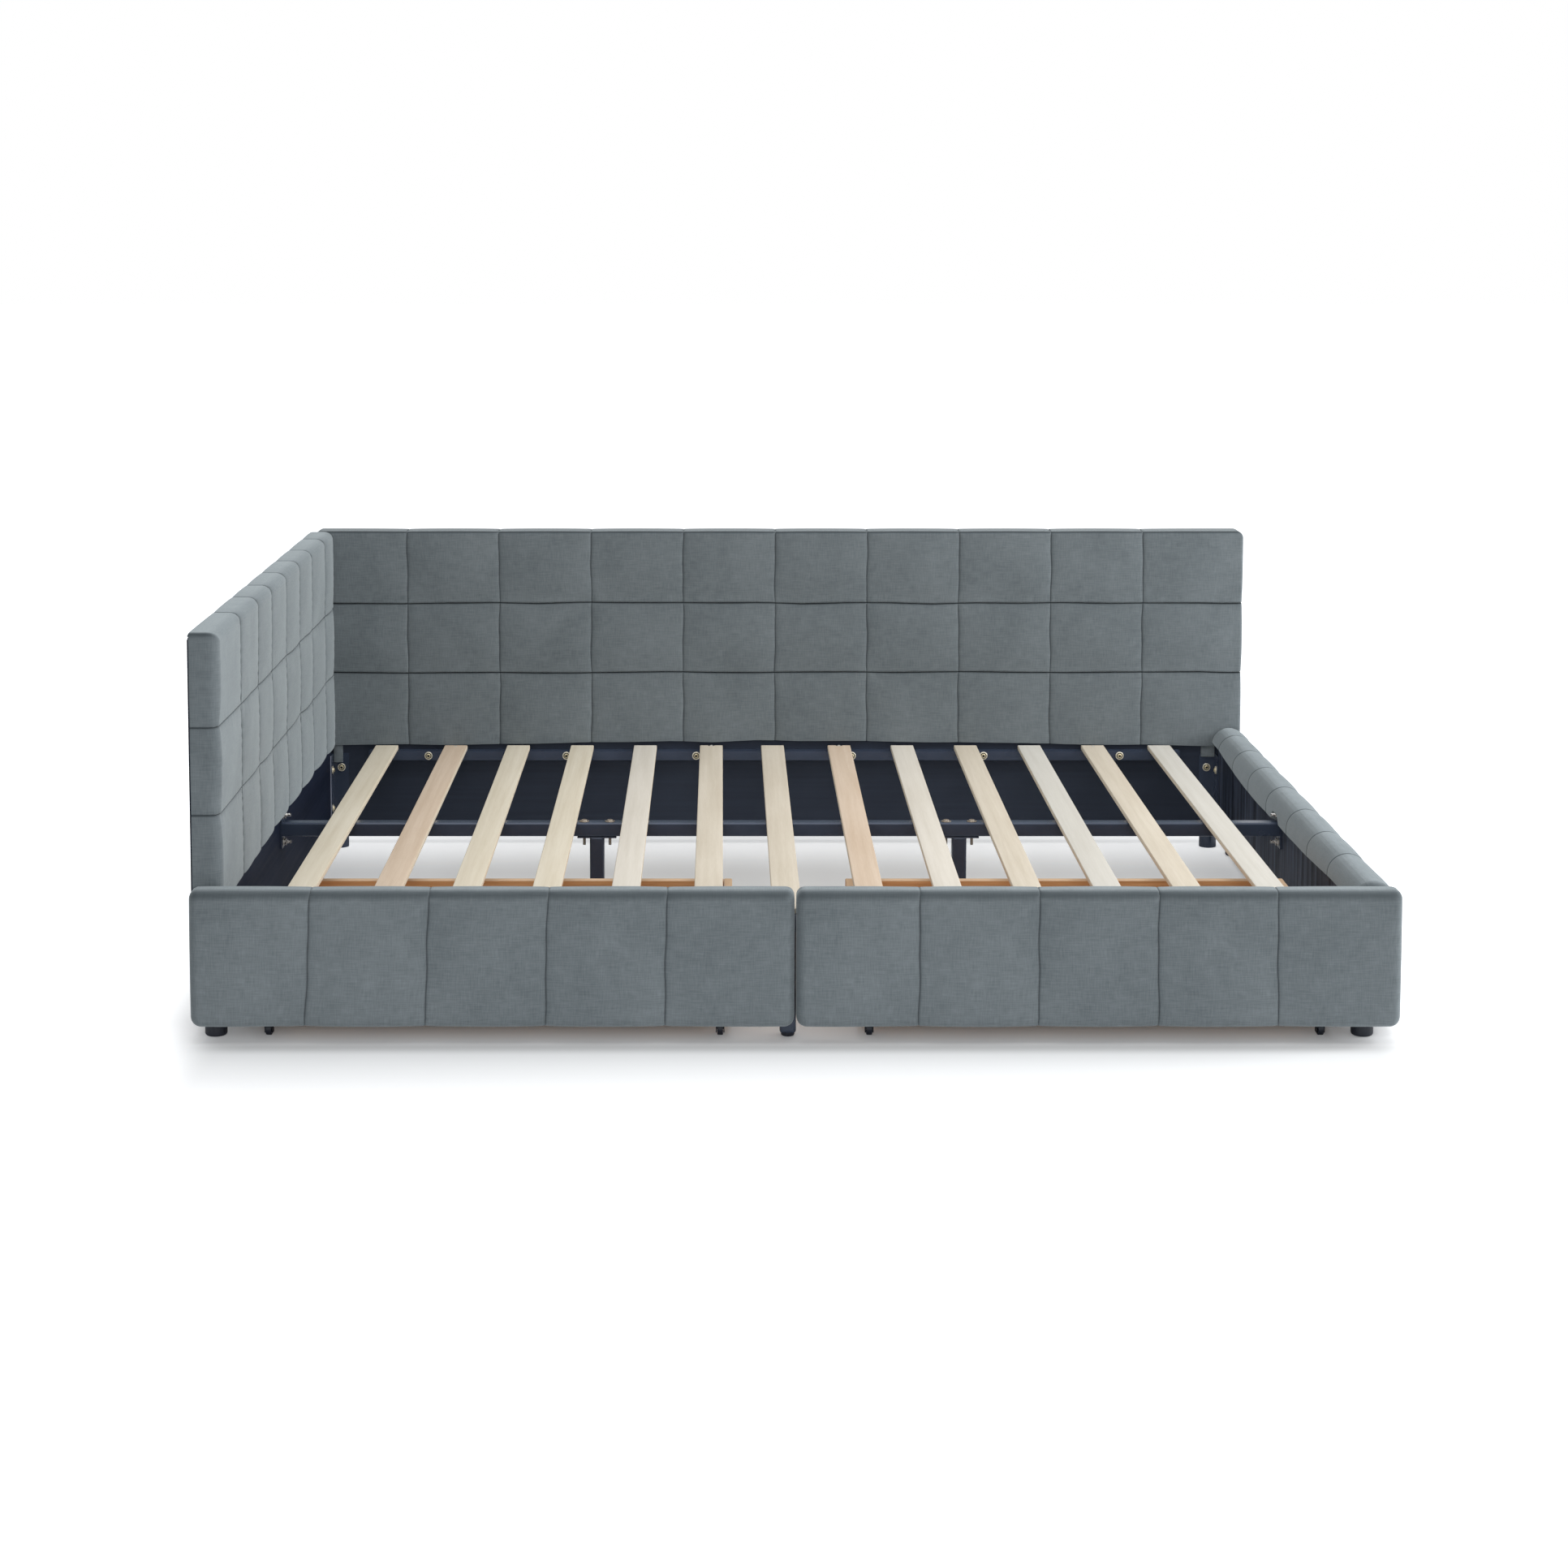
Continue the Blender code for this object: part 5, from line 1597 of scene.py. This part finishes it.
    def build_rail_ends(self) -> None:
        """Two nuts with their washers and threaded tips on the plate at each end of the centre rail."""
        low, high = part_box("centre_rail")
        middle = (low.y + high.y) / 2
        left, right = low.x + self.end_plate, high.x - self.end_plate
        for name, x, facing in (("left", left, Facing.RIGHT), ("right", right, Facing.LEFT)):
            spots = [(x, middle, z) for z in (high.z - self.nut_inset, low.z + self.nut_inset)]
            nuts, tips = hex_nut(*self.nut), threaded_end(*self.nut_tip)
            nuts.points[:, 2] += self.nut_washer[1]
            tips.points[:, 2] += self.nut_tip_rise
            parts = [skin.placed(facing).repeated(spots) for skin in (nuts, tips)]
            add_piece(f"rail_end_{name}_bolts", gathered(parts), BRIGHT_NUT)
            rings = washer(*self.nut_washer).placed(facing).repeated(spots)
            add_piece(f"rail_end_{name}_washers", rings, ZINC)

    def build_glides(self) -> None:
        """A plastic glide round the foot of each tube leg.

        Formula: a turned profile with an eased lower edge.
        """
        radius = self.glide_radius
        rim = [(radius - 0.0028, 0), (radius - 0.0008, 0.0009), (radius, 0.0028), (radius, 0.0068)]
        glide = turned([(0, 0), *rim, (0, 0.0068)], 40)
        for leg in self.legs:
            low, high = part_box(leg)
            place = ((low.x + high.x) / 2, (low.y + high.y) / 2, 0.0)
            add_piece(f"{leg}_glide", glide.placed(Facing.UP, place), BLACK)

    def build(self) -> None:
        """Makes all the fasteners."""
        self.build_rear_rail()
        self.build_corners()
        self.build_flange_highlight()
        self.build_leg_bolts()
        self.build_rail_ends()
        self.build_glides()


# carried-over frame


@dataclass
class Carcass:
    """The CAD pieces that keep their own shape: boards, rails, legs, feet, drawer boxes and casters."""

    steel: tuple[str, ...] = (
        "rear_slat_rail", "centre_rail", "front_slat_rail", "centre_rail_leg_left", "centre_rail_leg_right",
        "front_rail_leg", "rear_corner_leg_left", "rear_corner_leg_right",
    )
    navy: tuple[str, ...] = ("back_panel_board", "drawer_left_front_board", "drawer_right_front_board")
    feet: tuple[str, ...] = ("foot_side_panel", "foot_end_rail_front", "foot_end_rail_rear")

    def dress(self) -> None:
        """Gives each piece its finish."""
        for node in self.steel:
            dress_node(node, STEEL)
        for node in self.navy:
            dress_node(node, NAVY)
        dress_node("side_panel_board", SHADED_NAVY)
        for node in self.feet:
            dress_node(node, BLACK)
        dress_node("end_rail_board", CHARCOAL)
        for drawer in ("drawer_left", "drawer_right"):
            dress_node(f"{drawer}_bottom", BROWN_PANEL)
            for panel in ("side_left", "side_right", "back"):
                dress_node(f"{drawer}_{panel}", BROWN)
            for number in range(1, 5):
                dress_node(f"{drawer}_caster_{number}", BLACK)
                dress_node(f"{drawer}_wheel_{number}", BLACK)


# studio


@dataclass(frozen=True)
class Lamp:
    """A soft rectangular lamp.

    Args:
        name: the lamp's name.
        place: where it hangs.
        aim: the point that it looks at.
        size: its width and height.
        power: its power in watts.
    """

    name: str
    place: Place
    aim: Place
    size: Span
    power: float

    def hang(self) -> None:
        """Puts the lamp into the scene."""
        data = bpy.data.lights.new(self.name, "AREA")
        data.shape = "RECTANGLE"
        data.size, data.size_y = self.size
        data.energy = self.power
        lamp = bpy.data.objects.new(self.name, data)
        lamp.location = self.place
        lamp.rotation_euler = (Vector(self.aim) - Vector(self.place)).to_track_quat("-Z", "Y").to_euler()
        bpy.context.scene.collection.objects.link(lamp)


@dataclass
class Studio:
    """The floor, the light and the camera.

    The shift is the camera's. Each other span is where a smooth step on the floor starts and ends, and each
    glow is how far that part of the floor shines by itself.
    """

    eye: Place = (-0.12457, -5.30292, 1.43626)
    pitch: float = 0.08908
    yaw: float = 0.00021
    lens: float = 63.322
    shift: Span = (0.04, -0.22)
    fill: float = 0.56
    floor_size: float = 60.0
    footprint: Place = (0.97, 0.79, 0.0)
    clear: Span = (0.0, 0.66)
    # contact and contact_shade paint a shadow in front of the drawers; under, rear, front glows paint light
    contact: Span = (-0.805, -0.757)
    front_edge: Span = (-0.762, -0.72)
    front: Span = (-0.6, -0.7)
    under: Span = (-0.5, -0.15)
    rear: Span = (0.42, 0.76)
    behind: Span = (1.5, 0.8)
    corners: Span = (1.06, 0.92)
    sides: Span = (0.2, 1.0)
    clear_glow: float = 0.75
    under_glow: float = 0.12
    rear_glow: float = 0.42
    front_glow: float = 0.09
    least_glow: float = 0.03
    contact_shade: float = 0.45
    stretch: Place = (4.0, 1.0, 1.0)
    floor_colour: tuple[float, ...] = (0.79, 0.8, 0.81, 1.0)
    shade_colour: tuple[float, ...] = (0.25, 0.25, 0.25, 1.0)
    glow_colour: tuple[float, ...] = (0.97, 0.985, 1.0, 1.0)
    lamps: tuple[Lamp, ...] = (
        Lamp("overhead_softbox", (0.4, -0.6, 3.4), (0.0, 0.0, 0.2), (3.4, 2.6), 57.0),
        Lamp("right_softbox", (4.0, -0.5, 1.9), (-0.6, 0.0, 0.45), (2.0, 2.0), 116.0),
        Lamp("front_softbox", (-0.8, -4.4, 1.7), (0.0, -0.6, 0.15), (3.0, 2.0), 29.0),
    )

    def build_camera(self) -> None:
        """A camera at the photograph's place, with part of its framing in the shift."""
        data = bpy.data.cameras.new("camera")
        data.lens = self.lens
        data.sensor_width = 36.0
        data.shift_x, data.shift_y = self.shift
        data.clip_end = 200.0
        camera = bpy.data.objects.new("camera", data)
        camera.location = self.eye
        camera.rotation_euler = (math.pi / 2 - self.pitch, 0.0, self.yaw)
        bpy.context.scene.collection.objects.link(camera)
        bpy.context.scene.camera = camera

    def build_world(self) -> None:
        """A white backdrop for the camera and in reflections, and a softer even fill for everything else."""
        world = bpy.data.worlds.new("studio")
        world.use_nodes = True
        nodes, links = world.node_tree.nodes, world.node_tree.links
        path = nodes.new("ShaderNodeLightPath")
        seen = nodes.new("ShaderNodeMath")
        seen.operation = "MAXIMUM"
        links.new(path.outputs["Is Camera Ray"], seen.inputs[0])
        links.new(path.outputs["Is Glossy Ray"], seen.inputs[1])
        level = nodes.new("ShaderNodeMapRange")
        level.inputs["To Min"].default_value = self.fill
        level.inputs["To Max"].default_value = 1.0
        links.new(seen.outputs[0], level.inputs["Value"])
        links.new(level.outputs[0], nodes["Background"].inputs["Strength"])
        nodes["Background"].inputs["Color"].default_value = (1, 1, 1, 1)
        bpy.context.scene.world = world

    def build_floor(self) -> None:
        """A pale floor that takes the object's shadow and turns pure white away from it."""
        half = self.floor_size / 2
        mesh = bpy.data.meshes.new("studio_floor")
        corners = [(-half, -half, 0), (half, -half, 0), (half, half, 0), (-half, half, 0)]
        mesh.from_pydata(corners, [], [(0, 1, 2, 3)])
        floor = bpy.data.objects.new("studio_floor", mesh)
        bpy.context.scene.collection.objects.link(floor)
        tree = ShaderTree("studio_floor")
        place = tree.object_place()
        size = tree.vector("ABSOLUTE", place)
        outside = tree.vector("MAXIMUM", tree.vector("SUBTRACT", size, self.footprint), (0.0, 0.0, 0.0))
        away = tree.vector("LENGTH", tree.stretched(outside, self.stretch), output="Value")
        across, ahead = tree.part(size, 0), tree.part(place, 1)
        inside = tree.ramp(ahead, self.front_edge)
        clear = tree.ramp(away, self.clear) * self.clear_glow
        # painted light: the under, rear and front glows brighten the floor under the bed
        under = tree.ramp(ahead, self.under) * tree.ramp(across, self.sides) * self.under_glow
        rear = tree.ramp(ahead, self.rear) * tree.ramp(ahead, self.behind) * self.rear_glow
        front = tree.ramp(ahead, self.front) * inside * self.front_glow
        # painted shadow: a darker band on the floor just in front of the drawers' closed place
        contact = tree.ramp(ahead, self.contact) * tree.ramp(across, self.corners) * (1 - inside)
        seen = tree.node("ShaderNodeLightPath", output="Is Camera Ray")
        shade = contact * seen * self.contact_shade
        tree.set(
            Base_Color=tree.mixed(shade, self.floor_colour, self.shade_colour),
            Roughness=0.6,
            Specular_IOR_Level=0.15,
            Emission_Color=self.glow_colour,
            Emission_Strength=(clear + under + rear + front + self.least_glow) * seen,
        )
        mesh.materials.append(tree.material)

    def build(self) -> None:
        """Sets up the studio."""
        bpy.context.scene.view_settings.view_transform = "Standard"
        self.build_camera()
        self.build_world()
        self.build_floor()
        for lamp in self.lamps:
            lamp.hang()


def main() -> None:
    """Builds the studio and the object's looks, in order."""
    logging.basicConfig(level=logging.INFO, format="%(message)s")
    Studio().build()
    Carcass().dress()
    Upholstery().build()
    Deck().build()
    Fasteners().build()


if __name__ == "__main__":
    main()
